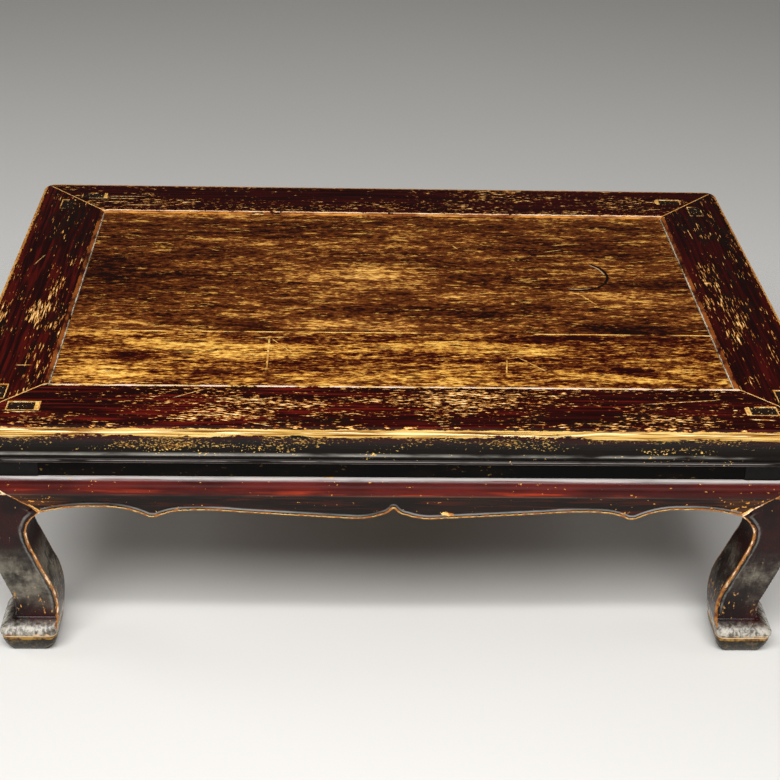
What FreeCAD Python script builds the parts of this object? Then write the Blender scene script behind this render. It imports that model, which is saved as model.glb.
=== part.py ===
import FreeCAD, Part
import math
import os
from types import SimpleNamespace

import Sketcher

# Low kang table in lacquered softwood.
# X runs along the table, the front faces -Y, +Z is up, and the origin is on the
# floor under the centre of the top. All lengths are in millimetres.

DRIVING_SIZES = {
    # The whole table
    "top_length": 920,
    "top_width": 640,
    "table_height": 315,
    # Mitred frame of the top
    "rail_width": 91,
    "rail_thickness": 51,
    "corner_round": 15,
    "arris_round": 4,
    "moulding_depth": 10.5,
    "bevel_width": 4.5,
    "panel_recess": 2.5,
    "frame_tenon_start": 48,
    "frame_tenon_width": 40,
    "frame_tenon_thickness": 14,
    "frame_tenon_drop": 17,
    "blind_wood": 12,
    # Floating panel of two boards
    "panel_thickness": 12,
    "panel_gap": 0.5,
    "tongue_shoulder": 3.5,
    "tongue_thickness": 6,
    "tongue_length": 9,
    "front_board_width": 124,
    "peg_diameter": 4,
    "peg_length": 36,
    # Cross battens under the panel
    "batten_width": 34,
    "batten_depth": 22,
    "ridge_height": 3.5,
    "ridge_base": 18,
    "ridge_flare": 2,
    "batten_tenon_length": 14,
    "batten_tenon_width": 22,
    "batten_tenon_thickness": 10,
    # Recessed waist
    "waist_setback": 24,
    "waist_height": 25,
    "waist_thickness": 10,
    "waist_tongue": 4,
    "waist_tongue_thickness": 5,
    # Bulging aprons
    "apron_setback": 14,
    "shoulder_height": 18,
    "ridge_step": 1,
    "apron_height": 47,
    "cusp_distance": 121.5,
    "cusp_length": 92,
    "end_cusp_distance": 88,
    "end_cusp_length": 72,
    "notch_half_width": 45,
    "bead_width": 5,
    "bead_height": 1.5,
    # Sawn cabriole legs
    "mitre_reach": 84.5,
    "mitre_drop": 41,
    "leg_stock": 74,
    "leg_tenon_inset": 32,
    "leg_tenon_start": 56,
    "leg_tenon_thickness": 16,
    "long_tenon_width": 28,
    "short_tenon_width": 28,
    "tenon_set_back": 0.4,
    "wedge_height": 36,
    "wedge_head": 4,
    "wedge_tip": 1.5,
    # Embracing-shoulder joint between leg and aprons
    "shoulder_tenon_depth": 17,
    "shoulder_tenon_thickness": 5,
    "key_start": 69,
    "key_neck": 8,
    "key_flare": 2,
    "key_depth": 7,
    "key_top_drop": 9,
    # Running room round joints, and the overrun of cuts past a surface
    "joint_gap": 0.25,
    "overrun": 5,
}

# Share of the bulge's reach inwards and share of its height, down a quarter ellipse
SHOULDER_ANGLE_SHARES = (0.2, 0.41, 0.65)

# Edge moulding: share of the moulding's depth and share of the rail's thickness
FACE_END_SHARES = (0.05, 0.255)
HOLLOW_SHARES = (0.60, 0.44)
HOLLOW_FOOT_SHARES = (0.92, 0.62)
LIP_TURN_SHARES = (0.90, 0.71)
LIP_SHARES = (0.74, 0.79)
BEAD_NECK_SHARES = (1.0, 0.82)
BEAD_TOP_SHARES = (1.0, 0.875)
BEAD_CROWN_SHARES = (0.76, 0.9375)

# Leg below the mitre: share of the stock's width and share of the height to the floor
KNEE_FOOT_SHARES = ((0.045, 0.26), (0.138, 0.45))
SHIN_SHARES = ((0.26, 0.623), (0.332, 0.72))
ANKLE_SHARES = ((0.35, 0.78), (0.335, 0.832))
HOOF_SHARES = ((0.205, 0.85), (0.108, 0.878))
LIP_FOOT_SHARES = (0.108, 0.889)
PAD_TOP_SHARES = (0.128, 0.894)
PAD_SHARES = ((0.16, 0.953), (0.236, 1.0))
PAD_HEEL_SHARES = (0.84, 1.0)
HEEL_SHARES = ((0.94, 0.953), (0.965, 0.894))
HEEL_LIP_SHARES = (0.985, 0.889)
HEEL_TOP_SHARES = (0.985, 0.876)
CALF_TOP_SHARES = ((0.995, 0.82), (1.0, 0.765))
CALF_SHARES = ((0.983, 0.694), (0.897, 0.572))
CALF_RISE_SHARES = (0.766, 0.41)
ARCH_SHARES = ((0.712, 0.338), (0.703, 0.279))
ARCH_FALL_SHARES = (0.79, 0.217)
BEAD_END_SHARES = (0.942, 0.645)

# Apron's lower edge: share of the distance named beside it and share of the apron's height
ARCH_TURN_SHARES = (0.25, 0.74)
ARCH_TOP_SHARES = (0.52, 0.715)
CUSP_FALL_SHARES = (0.76, 0.785)
CUSP_BACK_SHARES = (0.935, 0.975)
CUSP_TIP_SHARE = 0.985
CUSP_RISE_SHARES = (0.13, 0.875)
CUSP_FOOT_SHARES = (0.33, 0.805)
CUSP_RUN_SHARES = (0.62, 0.795)
SLOPE_SHARE = 0.845
NOTCH_FOOT_SHARES = (0.62, 0.985)
NOTCH_RISE_SHARES = (0.31, 0.9)
NOTCH_FLANK_SHARES = (0.12, 0.825)
NOTCH_TIP_SHARE = 0.705

# Triangular tenon behind each mitre: two shares of the mitre line
SHOULDER_TENON_SHARES = (0.15, 0.62)

# Boards are joined by pegs at these shares of the opening's half length
PEG_SHARES = (-0.78, -0.30, 0.30, 0.78)

# Battens stand at this share of the opening's half length
BATTEN_SHARE = 1 / 3


class Size:
    """A length together with the sheet formula that gives it."""

    def __init__(self, value, formula):
        self.value = float(value)
        self.formula = formula

    def __add__(self, other):
        return Size(self.value + other.value, f"({self.formula} + {other.formula})")

    def __sub__(self, other):
        return Size(self.value - other.value, f"({self.formula} - {other.formula})")

    def __mul__(self, share):
        return Size(self.value * share, f"({self.formula} * {share})")

    def __neg__(self):
        return self * -1


class Via:
    """A place that an arc passes on its way between the two corners beside it."""

    def __init__(self, across, up):
        self.across = across
        self.up = up


doc = FreeCAD.newDocument("KangTable")


def make_sheet():
    """Keeps the driving sizes in a spreadsheet and returns them by name."""
    sheet = doc.addObject("Spreadsheet::Sheet", "Sizes")
    sizes = SimpleNamespace()
    for row, (name, value) in enumerate(DRIVING_SIZES.items(), start=1):
        sheet.set(f"A{row}", name)
        sheet.set(f"B{row}", str(value))
        sheet.setAlias(f"B{row}", name)
        setattr(sizes, name, Size(value, f"Sizes.{name}"))
    doc.recompute()
    return sizes


size = make_sheet()
ZERO = Size(0, "0")

# Places that several pieces share
half_length = size.top_length * 0.5
half_width = size.top_width * 0.5
opening_half_length = half_length - size.rail_width
opening_half_width = half_width - size.rail_width
top_level = size.table_height
panel_top = top_level - size.panel_recess
panel_base = panel_top - size.panel_thickness
groove_top = panel_top - size.tongue_shoulder
groove_base = groove_top - size.tongue_thickness
frame_base = top_level - size.rail_thickness
frame_tenon_top = top_level - size.frame_tenon_drop
frame_tenon_base = frame_tenon_top - size.frame_tenon_thickness
frame_tenon_end = size.frame_tenon_start + size.frame_tenon_width
waist_base = frame_base - size.waist_height
waist_back = size.waist_setback + size.waist_thickness
waist_tongue_front = size.waist_setback + (size.waist_thickness - size.waist_tongue_thickness) * 0.5
waist_tongue_back = waist_tongue_front + size.waist_tongue_thickness
ridge_level = waist_base - size.shoulder_height
band_setback = size.apron_setback + size.ridge_step
apron_base = waist_base - size.apron_height
mitre_level = waist_base - size.mitre_drop
mitre_run = size.mitre_reach - size.waist_setback
batten_place = opening_half_length * BATTEN_SHARE
seam = opening_half_width - size.front_board_width
key_top = waist_base - size.key_top_drop
leg_tenon_back = size.leg_tenon_inset + size.leg_tenon_thickness
long_tenon_end = size.leg_tenon_start + size.long_tenon_width
short_tenon_end = size.leg_tenon_start + size.short_tenon_width
shoulder_tenon_back = size.shoulder_tenon_depth + size.shoulder_tenon_thickness
key_tip = size.waist_setback - size.key_depth


def origin_plane(body, role):
    """Finds one of the body's own origin planes, such as XY_Plane."""
    return next(feature for feature in body.Origin.OriginFeatures if feature.Role == role)


def place_of(point):
    """Gives the two sizes that place a corner or a Via."""
    return (point.across, point.up) if isinstance(point, Via) else point


def spot(point):
    """Gives the drawn place of a corner or of a Via."""
    across, up = place_of(point)
    return FreeCAD.Vector(across.value, up.value, 0)


def pins(edge, end, point):
    """Pairs the two constraints that hold one point of a sketch with their sheet formulas."""
    return [
        (Sketcher.Constraint(kind, -1, 1, edge, end, place.value), place.formula)
        for kind, place in zip(("DistanceX", "DistanceY"), place_of(point))
    ]


def constrain(sketch, ties):
    """Adds constraints, and binds to the sheet each one that comes with a formula."""
    numbers = sketch.addConstraint([constraint for constraint, formula in ties])
    for number, (constraint, formula) in zip(numbers, ties):
        if formula:
            sketch.setExpression(f"Constraints[{number}]", formula)


def nearer_end(sketch, edge, place):
    """Says which end of an edge, 1 or 2, lies at a place: an arc may run the other way round."""
    gaps = [sketch.getPoint(edge, end).distanceToPoint(place) for end in (1, 2)]
    return 1 if gaps[0] < gaps[1] else 2


def draw(sketch, outline):
    """Draws a closed outline: straight between corners, an arc where a Via stands between."""
    starts = [index for index, point in enumerate(outline) if not isinstance(point, Via)]
    curves = []
    passed = []
    for index in starts:
        point, following, last = (outline[(index + step) % len(outline)] for step in range(3))
        if isinstance(following, Via):
            curves.append(Part.Arc(spot(point), spot(following), spot(last)))
            passed.append((len(curves) - 1, following))
        else:
            curves.append(Part.LineSegment(spot(point), spot(following)))
    edges = sketch.addGeometry(curves, False)
    marks = sketch.addGeometry([Part.Point(spot(via)) for edge, via in passed], True) if passed else ()
    ends = [nearer_end(sketch, edge, spot(outline[index])) for edge, index in zip(edges, starts)]
    ties = []
    for number, (edge, index, end) in enumerate(zip(edges, starts, ends)):
        before = number - 1
        ties += pins(edge, end, outline[index])
        ties.append((Sketcher.Constraint("Coincident", edges[before], 3 - ends[before], edge, end), None))
    for mark, (number, via) in zip(marks, passed):
        ties += pins(mark, 1, via)
        ties.append((Sketcher.Constraint("PointOnObject", mark, 1, edges[number]), None))
    constrain(sketch, ties)


def sketch_on(body, name, plane, place):
    """Opens a sketch parallel to an origin plane of its body, at a height above it."""
    sketch = body.newObject("Sketcher::SketchObject", f"{name}_sketch")
    sketch.AttachmentSupport = [(origin_plane(body, f"{plane}_Plane"), "")]
    sketch.MapMode = "FlatFace"
    sketch.setExpression("AttachmentOffset.Base.z", place.formula)
    return sketch


def prism(body, name, plane, outline, low, high, cut=False):
    """Adds the prism between two levels along the plane's axis, or cuts it away.

    The XZ plane faces -Y, so its prisms start from the higher level."""
    start = -high if plane == "XZ" else low
    sketch = sketch_on(body, name, plane, start)
    draw(sketch, outline)
    kind = "PartDesign::Pocket" if cut else "PartDesign::Pad"
    feature = body.newObject(kind, name)
    feature.Profile = sketch
    feature.setExpression("Length", (high - low).formula)
    feature.Reversed = cut
    return feature


def cut_prism(body, name, plane, outline, low, high):
    return prism(body, name, plane, outline, low, high, cut=True)


def box_outline(left, low, right, high):
    return [(left, low), (right, low), (right, high), (left, high)]


def flipped(outline):
    """Gives the same outline on the other side of the sketch's upright axis."""
    return [Via(-p.across, p.up) if isinstance(p, Via) else (-p[0], p[1]) for p in outline]


def both_ends(outline):
    """Pairs an outline at the left end with its mirror image at the right end."""
    return (("left", outline), ("right", flipped(outline)))


def new_body(name):
    return doc.addObject("PartDesign::Body", name)


def mirrored(source, name, normal):
    """Makes the opposite piece of a pair, across the middle of the table."""
    twin = doc.addObject("Part::Mirroring", name)
    twin.Source = source
    twin.Normal = FreeCAD.Vector(*normal)
    return twin


ACROSS_LENGTH = (1, 0, 0)
ACROSS_WIDTH = (0, 1, 0)


# Outlines that pieces have in common. Each is drawn against an outer edge at a
# negative place, so a setback from the edge is added to it.

def quarter_ellipse(edge, angle_share):
    """A place on the bulge, at a share of the right angle that its curve turns through."""
    angle = math.radians(90 * angle_share)
    reach = size.waist_setback - size.apron_setback
    setback = size.waist_setback - reach * math.sin(angle)
    return (edge + setback, waist_base - size.shoulder_height * (1 - math.cos(angle)))


def shoulder(edge):
    """The bulge that leg and apron share: from the waist down and out to its small ridge."""
    first, middle, last = (quarter_ellipse(edge, share) for share in SHOULDER_ANGLE_SHARES)
    return [
        (edge + size.waist_setback, waist_base),
        Via(*first),
        middle,
        Via(*last),
        (edge + size.apron_setback, ridge_level),
        (edge + band_setback, ridge_level - size.ridge_step),
    ]


def moulding_waste(edge):
    """What is planed off the outer edge of a rail: rounded arris, hollow, lip and bead."""
    def at(shares):
        return (edge + size.moulding_depth * shares[0], top_level - size.rail_thickness * shares[1])

    corner = size.arris_round * (1 - math.sqrt(0.5))
    return [
        (edge - size.overrun, top_level),
        (edge + size.arris_round, top_level),
        Via(edge + corner, top_level - corner),
        (edge, top_level - size.arris_round),
        at(FACE_END_SHARES),
        Via(*at(HOLLOW_SHARES)),
        at(HOLLOW_FOOT_SHARES),
        Via(*at(LIP_TURN_SHARES)),
        at(LIP_SHARES),
        at(BEAD_NECK_SHARES),
        at(BEAD_TOP_SHARES),
        Via(*at(BEAD_CROWN_SHARES)),
        (edge + size.moulding_depth, frame_base),
        (edge - size.overrun, frame_base),
    ]


def cut_rail_section(rail, plane, edge, half_run):
    """Works a rail's section along its length: moulding, worn inner bevel and two grooves."""
    inner = edge + size.rail_width
    cut_prism(rail, "moulding", plane, moulding_waste(edge), -half_run, half_run)
    bevel = [(inner - size.bevel_width, top_level), (inner, top_level), (inner, panel_top)]
    cut_prism(rail, "bevel", plane, bevel, -half_run, half_run)
    groove_floor = inner - size.tongue_length - size.panel_gap * 2
    groove = box_outline(groove_floor, groove_base, inner, groove_top)
    cut_prism(rail, "panel_groove", plane, groove, -half_run, half_run)
    waist_run = half_run - size.mitre_reach
    waist_groove = box_outline(
        edge + waist_tongue_front - size.joint_gap,
        frame_base,
        edge + waist_tongue_back + size.joint_gap,
        frame_base + size.waist_tongue + size.joint_gap,
    )
    cut_prism(rail, "waist_groove", plane, waist_groove, -waist_run, waist_run)


def corner_arc(edge_x, edge_y, across_first):
    """Half of a rounded corner in plan, from the mitre to the straight edge of one rail."""
    turn = math.radians(22.5)
    on_mitre = size.corner_round * (1 - math.sqrt(0.5))
    near = size.corner_round * (1 - math.cos(turn))
    far = size.corner_round * (1 - math.sin(turn))
    start = (edge_x + on_mitre, edge_y + on_mitre)
    if across_first:
        return [start, Via(edge_x + far, edge_y + near), (edge_x + size.corner_round, edge_y)]
    return [start, Via(edge_x + near, edge_y + far), (edge_x, edge_y + size.corner_round)]


def make_front_rail():
    """Long rail, mitred at both ends, with a blind tenon on each mitre."""
    rail = new_body("front_rail")
    edge = -half_width
    inner = edge + size.rail_width
    left_corner = corner_arc(-half_length, edge, True)
    plan = (
        left_corner
        + flipped(left_corner)[::-1]
        + [(opening_half_length, inner), (-opening_half_length, inner)]
    )
    prism(rail, "mitred_blank", "XY", plan, frame_base, top_level)
    cut_rail_section(rail, "YZ", edge, half_length)
    tenon_near = edge + size.frame_tenon_start
    tenon_far = edge + frame_tenon_end
    tenon = [
        (-half_length + size.blind_wood, tenon_near),
        (-half_length + size.frame_tenon_start, tenon_near),
        (-half_length + frame_tenon_end, tenon_far),
        (-half_length + size.blind_wood, tenon_far),
    ]
    for end, outline in both_ends(tenon):
        prism(rail, f"tenon_{end}", "XY", outline, frame_tenon_base, frame_tenon_top)
    lock_hole = box_outline(
        -half_length + size.leg_tenon_inset - size.joint_gap,
        edge + size.leg_tenon_start - size.joint_gap,
        -half_length + leg_tenon_back + size.joint_gap,
        edge + short_tenon_end + size.joint_gap,
    )
    leg_hole = box_outline(
        -half_length + size.leg_tenon_start - size.joint_gap,
        edge + size.leg_tenon_inset - size.joint_gap,
        -half_length + long_tenon_end,
        edge + leg_tenon_back + size.joint_gap,
    )
    for end, outline in both_ends(lock_hole):
        cut_prism(rail, f"lock_hole_{end}", "XY", outline, frame_tenon_base, frame_tenon_top)
    for end, outline in both_ends(leg_hole):
        cut_prism(rail, f"leg_mortise_{end}", "XY", outline, frame_base, top_level)
    for end, outline in both_ends(wedge_outline()):
        low = edge + size.leg_tenon_inset - size.joint_gap
        high = edge + leg_tenon_back + size.joint_gap
        cut_prism(rail, f"wedge_room_{end}", "XZ", outline, low, high)
    batten_hole = box_outline(
        -batten_place - size.batten_tenon_width * 0.5 - size.joint_gap,
        batten_tenon_base() - size.joint_gap,
        -batten_place + size.batten_tenon_width * 0.5 + size.joint_gap,
        batten_tenon_top() + size.joint_gap,
    )
    for end, outline in both_ends(batten_hole):
        low = inner - size.batten_tenon_length - size.joint_gap
        cut_prism(rail, f"batten_mortise_{end}", "XZ", outline, low, inner)
    return rail


def make_left_end_rail():
    """Short rail, mitred at both ends, mortised for the long rails' tenons."""
    rail = new_body("left_end_rail")
    edge = -half_length
    inner = edge + size.rail_width
    front_corner = corner_arc(edge, -half_width, False)
    back_corner = [
        Via(p.across, -p.up) if isinstance(p, Via) else (p[0], -p[1]) for p in front_corner
    ]
    plan = (
        front_corner
        + back_corner[::-1]
        + [(inner, opening_half_width), (inner, -opening_half_width)]
    )
    prism(rail, "mitred_blank", "XY", plan, frame_base, top_level)
    cut_rail_section(rail, "XZ", edge, half_width)
    for end, low, high in (
        ("front", -half_width + size.frame_tenon_start, -half_width + frame_tenon_end),
        ("back", half_width - frame_tenon_end, half_width - size.frame_tenon_start),
    ):
        mortise = box_outline(
            edge + size.blind_wood - size.joint_gap,
            low - size.joint_gap,
            inner,
            high + size.joint_gap,
        )
        low_level = frame_tenon_base - size.joint_gap
        high_level = frame_tenon_top + size.joint_gap
        cut_prism(rail, f"tenon_mortise_{end}", "XY", mortise, low_level, high_level)
    for end, low, high in (
        ("front", -half_width + size.leg_tenon_start, -half_width + short_tenon_end),
        ("back", half_width - short_tenon_end, half_width - size.leg_tenon_start),
    ):
        hole = box_outline(
            edge + size.leg_tenon_inset - size.joint_gap,
            low - size.joint_gap,
            edge + leg_tenon_back + size.joint_gap,
            high + size.joint_gap,
        )
        cut_prism(rail, f"leg_mortise_{end}", "XY", hole, frame_base, top_level)
    return rail


def wedge_outline():
    """Side view of the wedge beside a leg's long tenon, wide at the top of the rail."""
    start = -half_length + long_tenon_end
    return [
        (start, top_level),
        (start, top_level - size.wedge_height),
        (start + size.wedge_tip, top_level - size.wedge_height),
        (start + size.wedge_head, top_level),
    ]


def make_tenon_wedges():
    """Four thin wedges, one beside each long tenon, in the front and back rails."""
    low = -half_width + size.leg_tenon_inset
    high = -half_width + leg_tenon_back
    wedges = []
    for end, outline in both_ends(wedge_outline()):
        wedge = new_body(f"wedge_front_{end}")
        prism(wedge, f"wedge_{end}", "XZ", outline, low, high)
        wedges.append(wedge)
        wedges.append(mirrored(wedge, f"wedge_back_{end}", ACROSS_WIDTH))
    group = doc.addObject("Part::Compound", "tenon_wedges")
    group.Links = wedges
    return group


def batten_tenon_top():
    return panel_base - (size.batten_depth - size.batten_tenon_thickness) * 0.5


def batten_tenon_base():
    return batten_tenon_top() - size.batten_tenon_thickness


def ridge_outline(centre, gap):
    """Dovetail ridge on a batten, or the slot for it when a gap is given all round."""
    neck = size.ridge_base * 0.5 + gap
    head = neck + size.ridge_flare
    crown = panel_base + size.ridge_height + gap
    return [
        (centre - neck, panel_base),
        (centre + neck, panel_base),
        (centre + head, crown),
        (centre - head, crown),
    ]


def make_board(name, low, high, outer_low, outer_high):
    """One board of the panel: its face between two levels in Y, and a tongue on three edges."""
    board = new_body(name)
    half_face = opening_half_length - size.panel_gap
    half_tongue = opening_half_length + size.tongue_length
    face = box_outline(-half_face, low, half_face, high)
    prism(board, "face", "XY", face, panel_base, panel_top)
    tongue = box_outline(-half_tongue, outer_low, half_tongue, outer_high)
    prism(board, "tongue", "XY", tongue, groove_base, groove_top - size.joint_gap)
    for end, side in (("left", -1), ("right", 1)):
        slot = ridge_outline(batten_place * side, size.joint_gap)
        cut_prism(board, f"batten_slot_{end}", "XZ", slot, outer_low, outer_high)
    return board


def cut_peg_holes(board, low, high):
    """Drills the joining edge of a board for the bamboo pegs."""
    for number, share in enumerate(PEG_SHARES, start=1):
        sketch = sketch_on(board, f"peg_hole_{number}", "XZ", -high)
        peg_circle(sketch, opening_half_length * share, size.peg_diameter + size.joint_gap)
        hole = board.newObject("PartDesign::Pocket", f"peg_hole_{number}")
        hole.Profile = sketch
        hole.setExpression("Length", (high - low).formula)
        hole.Reversed = True


def peg_circle(sketch, across, diameter):
    """Draws a peg's or a peg hole's circle in the middle of the panel's thickness."""
    level = panel_top - size.panel_thickness * 0.5
    centre = FreeCAD.Vector(across.value, level.value, 0)
    upright = FreeCAD.Vector(0, 0, 1)
    circle = sketch.addGeometry(Part.Circle(centre, upright, diameter.value * 0.5), False)
    width = (Sketcher.Constraint("Diameter", circle, diameter.value), diameter.formula)
    constrain(sketch, pins(circle, 3, (across, level)) + [width])


def make_board_pegs():
    """Bamboo pegs that hold the two boards' edges in line."""
    half_peg = size.peg_length * 0.5
    pegs = []
    for number, share in enumerate(PEG_SHARES, start=1):
        peg = new_body(f"peg_{number}")
        sketch = sketch_on(peg, f"peg_{number}", "XZ", seam - half_peg)
        peg_circle(sketch, opening_half_length * share, size.peg_diameter)
        rod = peg.newObject("PartDesign::Pad", f"rod_{number}")
        rod.Profile = sketch
        rod.setExpression("Length", size.peg_length.formula)
        pegs.append(peg)
    group = doc.addObject("Part::Compound", "board_pegs")
    group.Links = pegs
    return group


def make_left_batten():
    """Cross batten: a dovetail ridge holds the boards flat, tenons join the long rails."""
    batten = new_body("left_batten")
    half_run = opening_half_width
    half_tenon = half_run + size.batten_tenon_length
    bar = box_outline(
        -batten_place - size.batten_width * 0.5,
        panel_base - size.batten_depth,
        -batten_place + size.batten_width * 0.5,
        panel_base,
    )
    prism(batten, "bar", "XZ", bar, -half_run, half_run)
    ridge = ridge_outline(-batten_place, ZERO)
    prism(batten, "ridge", "XZ", ridge, -half_run, half_run)
    tenon = box_outline(
        -batten_place - size.batten_tenon_width * 0.5,
        batten_tenon_base(),
        -batten_place + size.batten_tenon_width * 0.5,
        batten_tenon_top(),
    )
    prism(batten, "tenons", "XZ", tenon, -half_tenon, half_tenon)
    return batten


def make_waist(name, plane, edge, half_run):
    """Recessed strip between two legs, tongued into rail, apron and leg posts."""
    strip = new_body(name)
    front = edge + size.waist_setback
    back = edge + waist_back
    half_strip = half_run - size.mitre_reach
    section = box_outline(front, waist_base, back, frame_base)
    prism(strip, "strip", plane, section, -half_strip, half_strip)
    tongue_front = edge + waist_tongue_front
    tongue_back = edge + waist_tongue_back
    tongues = box_outline(
        tongue_front,
        waist_base - size.waist_tongue,
        tongue_back,
        frame_base + size.waist_tongue,
    )
    inset = half_strip - size.joint_gap
    prism(strip, "edge_tongues", plane, tongues, -inset, inset)
    ends = box_outline(tongue_front, waist_base + size.waist_tongue, tongue_back, frame_base)
    half_end = half_strip + size.waist_tongue
    prism(strip, "end_tongues", plane, ends, -half_end, half_end)
    return strip


def lower_edge(half_run, cusp_distance, cusp_length):
    """The apron's lower edge, from its left mitre to its centre notch.

    An arch, a pointed cusp, a long slope and half of a pointed notch."""
    corner = -half_run + size.mitre_reach
    cusp = corner + cusp_distance
    inner = cusp + cusp_length

    def arch(shares):
        return (corner + cusp_distance * shares[0], waist_base - size.apron_height * shares[1])

    def bay(shares):
        return (cusp + cusp_length * shares[0], waist_base - size.apron_height * shares[1])

    def notch(shares):
        return (-size.notch_half_width * shares[0], waist_base - size.apron_height * shares[1])

    return [
        (corner, mitre_level),
        Via(*arch(ARCH_TURN_SHARES)),
        arch(ARCH_TOP_SHARES),
        Via(*arch(CUSP_FALL_SHARES)),
        arch(CUSP_BACK_SHARES),
        (cusp, waist_base - size.apron_height * CUSP_TIP_SHARE),
        Via(*bay(CUSP_RISE_SHARES)),
        bay(CUSP_FOOT_SHARES),
        Via(*bay(CUSP_RUN_SHARES)),
        (inner, waist_base - size.apron_height * SLOPE_SHARE),
        (-size.notch_half_width, apron_base),
        Via(*notch(NOTCH_FOOT_SHARES)),
        notch(NOTCH_RISE_SHARES),
        Via(*notch(NOTCH_FLANK_SHARES)),
        (ZERO, waist_base - size.apron_height * NOTCH_TIP_SHARE),
    ]


def raised(outline, height):
    """Gives the outline moved up by a height."""
    return [Via(p.across, p.up + height) if isinstance(p, Via) else (p[0], p[1] + height)
            for p in outline]


def mitre_spot(edge, share):
    """A place on the mitre line of leg and apron, at a share of its length."""
    return (edge + size.waist_setback + mitre_run * share, waist_base - size.mitre_drop * share)


def shoulder_tenon(edge, gap):
    """Triangle behind the mitre, or the socket for it when a gap is given."""
    top_share, foot_share = SHOULDER_TENON_SHARES
    top = mitre_spot(edge, top_share)
    foot = mitre_spot(edge, foot_share)
    low = foot[1] - gap
    return [(top[0] - gap, top[1] + gap), (top[0] - gap, low), (foot[0] + gap * 2, low)]


def key_outline(edge, side_edge, gap, swapped=False):
    """Dovetail hanging key in plan, or its slot when a gap is given.

    It stands on the post's face and widens towards the apron."""
    middle = side_edge + size.key_start + size.key_neck * 0.5
    neck = size.key_neck * 0.5 + gap
    head = neck + size.key_flare
    root = edge + size.waist_setback
    tip = edge + key_tip - gap
    corners = [(middle - neck, root), (middle + neck, root), (middle + head, tip), (middle - head, tip)]
    return [(up, across) for across, up in corners] if swapped else corners


def make_apron(name, along_length):
    """Bulging apron with a cusped lower edge, mitred to a leg at each end."""
    apron = new_body(name)
    edge, side_edge = (-half_width, -half_length) if along_length else (-half_length, -half_width)
    section_plane, face_plane = ("YZ", "XZ") if along_length else ("XZ", "YZ")
    half_run = -side_edge
    face = edge + size.apron_setback
    seat = edge + size.waist_setback
    back = edge + waist_back
    half_blank = half_run - size.waist_setback

    section = shoulder(edge) + [(edge + band_setback, apron_base), (back, apron_base), (back, waist_base)]
    prism(apron, "bulging_blank", section_plane, section, -half_blank, half_blank)

    if along_length:
        left = lower_edge(half_run, size.cusp_distance, size.cusp_length)
    else:
        left = lower_edge(half_run, size.end_cusp_distance, size.end_cusp_length)
    beyond = side_edge + size.waist_setback
    waste = [(beyond, apron_base - size.overrun), (beyond, mitre_level)] + left
    waste.append((ZERO, apron_base - size.overrun))
    for end, outline in both_ends(waste):
        cut_prism(apron, f"lower_edge_{end}", face_plane, outline, face - size.overrun, back)

    bead = [(beyond, mitre_level)] + left
    bead += raised(bead, size.bead_width)[::-1]
    bead_face = edge + band_setback - size.bead_height
    for end, outline in both_ends(bead):
        prism(apron, f"bead_{end}", face_plane, outline, bead_face, seat)

    mitre_waste = [
        (side_edge + size.waist_setback, waist_base),
        (side_edge + size.mitre_reach, mitre_level),
        (side_edge + size.mitre_reach, apron_base - size.overrun),
        (side_edge, apron_base - size.overrun),
        (side_edge, waist_base),
    ]
    back_waste = box_outline(
        side_edge, apron_base - size.overrun, side_edge + size.mitre_reach, waist_base
    )
    for end, outline in both_ends(mitre_waste):
        cut_prism(apron, f"mitre_{end}", face_plane, outline, face - size.overrun, seat)
    for end, outline in both_ends(back_waste):
        cut_prism(apron, f"square_shoulder_{end}", face_plane, outline, seat, back)

    groove = box_outline(
        edge + waist_tongue_front - size.joint_gap,
        waist_base - size.waist_tongue - size.joint_gap,
        edge + waist_tongue_back + size.joint_gap,
        waist_base,
    )
    half_groove = half_run - size.mitre_reach
    cut_prism(apron, "waist_groove", section_plane, groove, -half_groove, half_groove)

    tenon_face = edge + size.shoulder_tenon_depth
    tenon_back = edge + shoulder_tenon_back
    for end, outline in both_ends(shoulder_tenon(side_edge, ZERO)):
        prism(apron, f"shoulder_tenon_{end}", face_plane, outline, tenon_face, tenon_back)
    slot = key_outline(edge, side_edge, size.joint_gap, not along_length)
    other = [(p[0], -p[1]) for p in slot] if not along_length else flipped(slot)
    for end, outline in (("left", slot), ("right", other)):
        slot_top = key_top + size.joint_gap
        cut_prism(apron, f"key_slot_{end}", "XY", outline, apron_base, slot_top)
    return apron


def leg_spot(edge, shares):
    """A place on the leg's outline, at shares of the stock's width and of the drop to the floor."""
    return (edge + size.apron_setback + size.leg_stock * shares[0], waist_base - waist_base * shares[1])


def inner_edge(edge):
    """The leg's inner edge, from the mitre down to the calf."""
    return [
        (edge + size.mitre_reach, mitre_level),
        Via(*leg_spot(edge, ARCH_FALL_SHARES)),
        leg_spot(edge, ARCH_SHARES[1]),
        Via(*leg_spot(edge, ARCH_SHARES[0])),
        leg_spot(edge, CALF_RISE_SHARES),
        leg_spot(edge, CALF_SHARES[1]),
    ]


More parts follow.
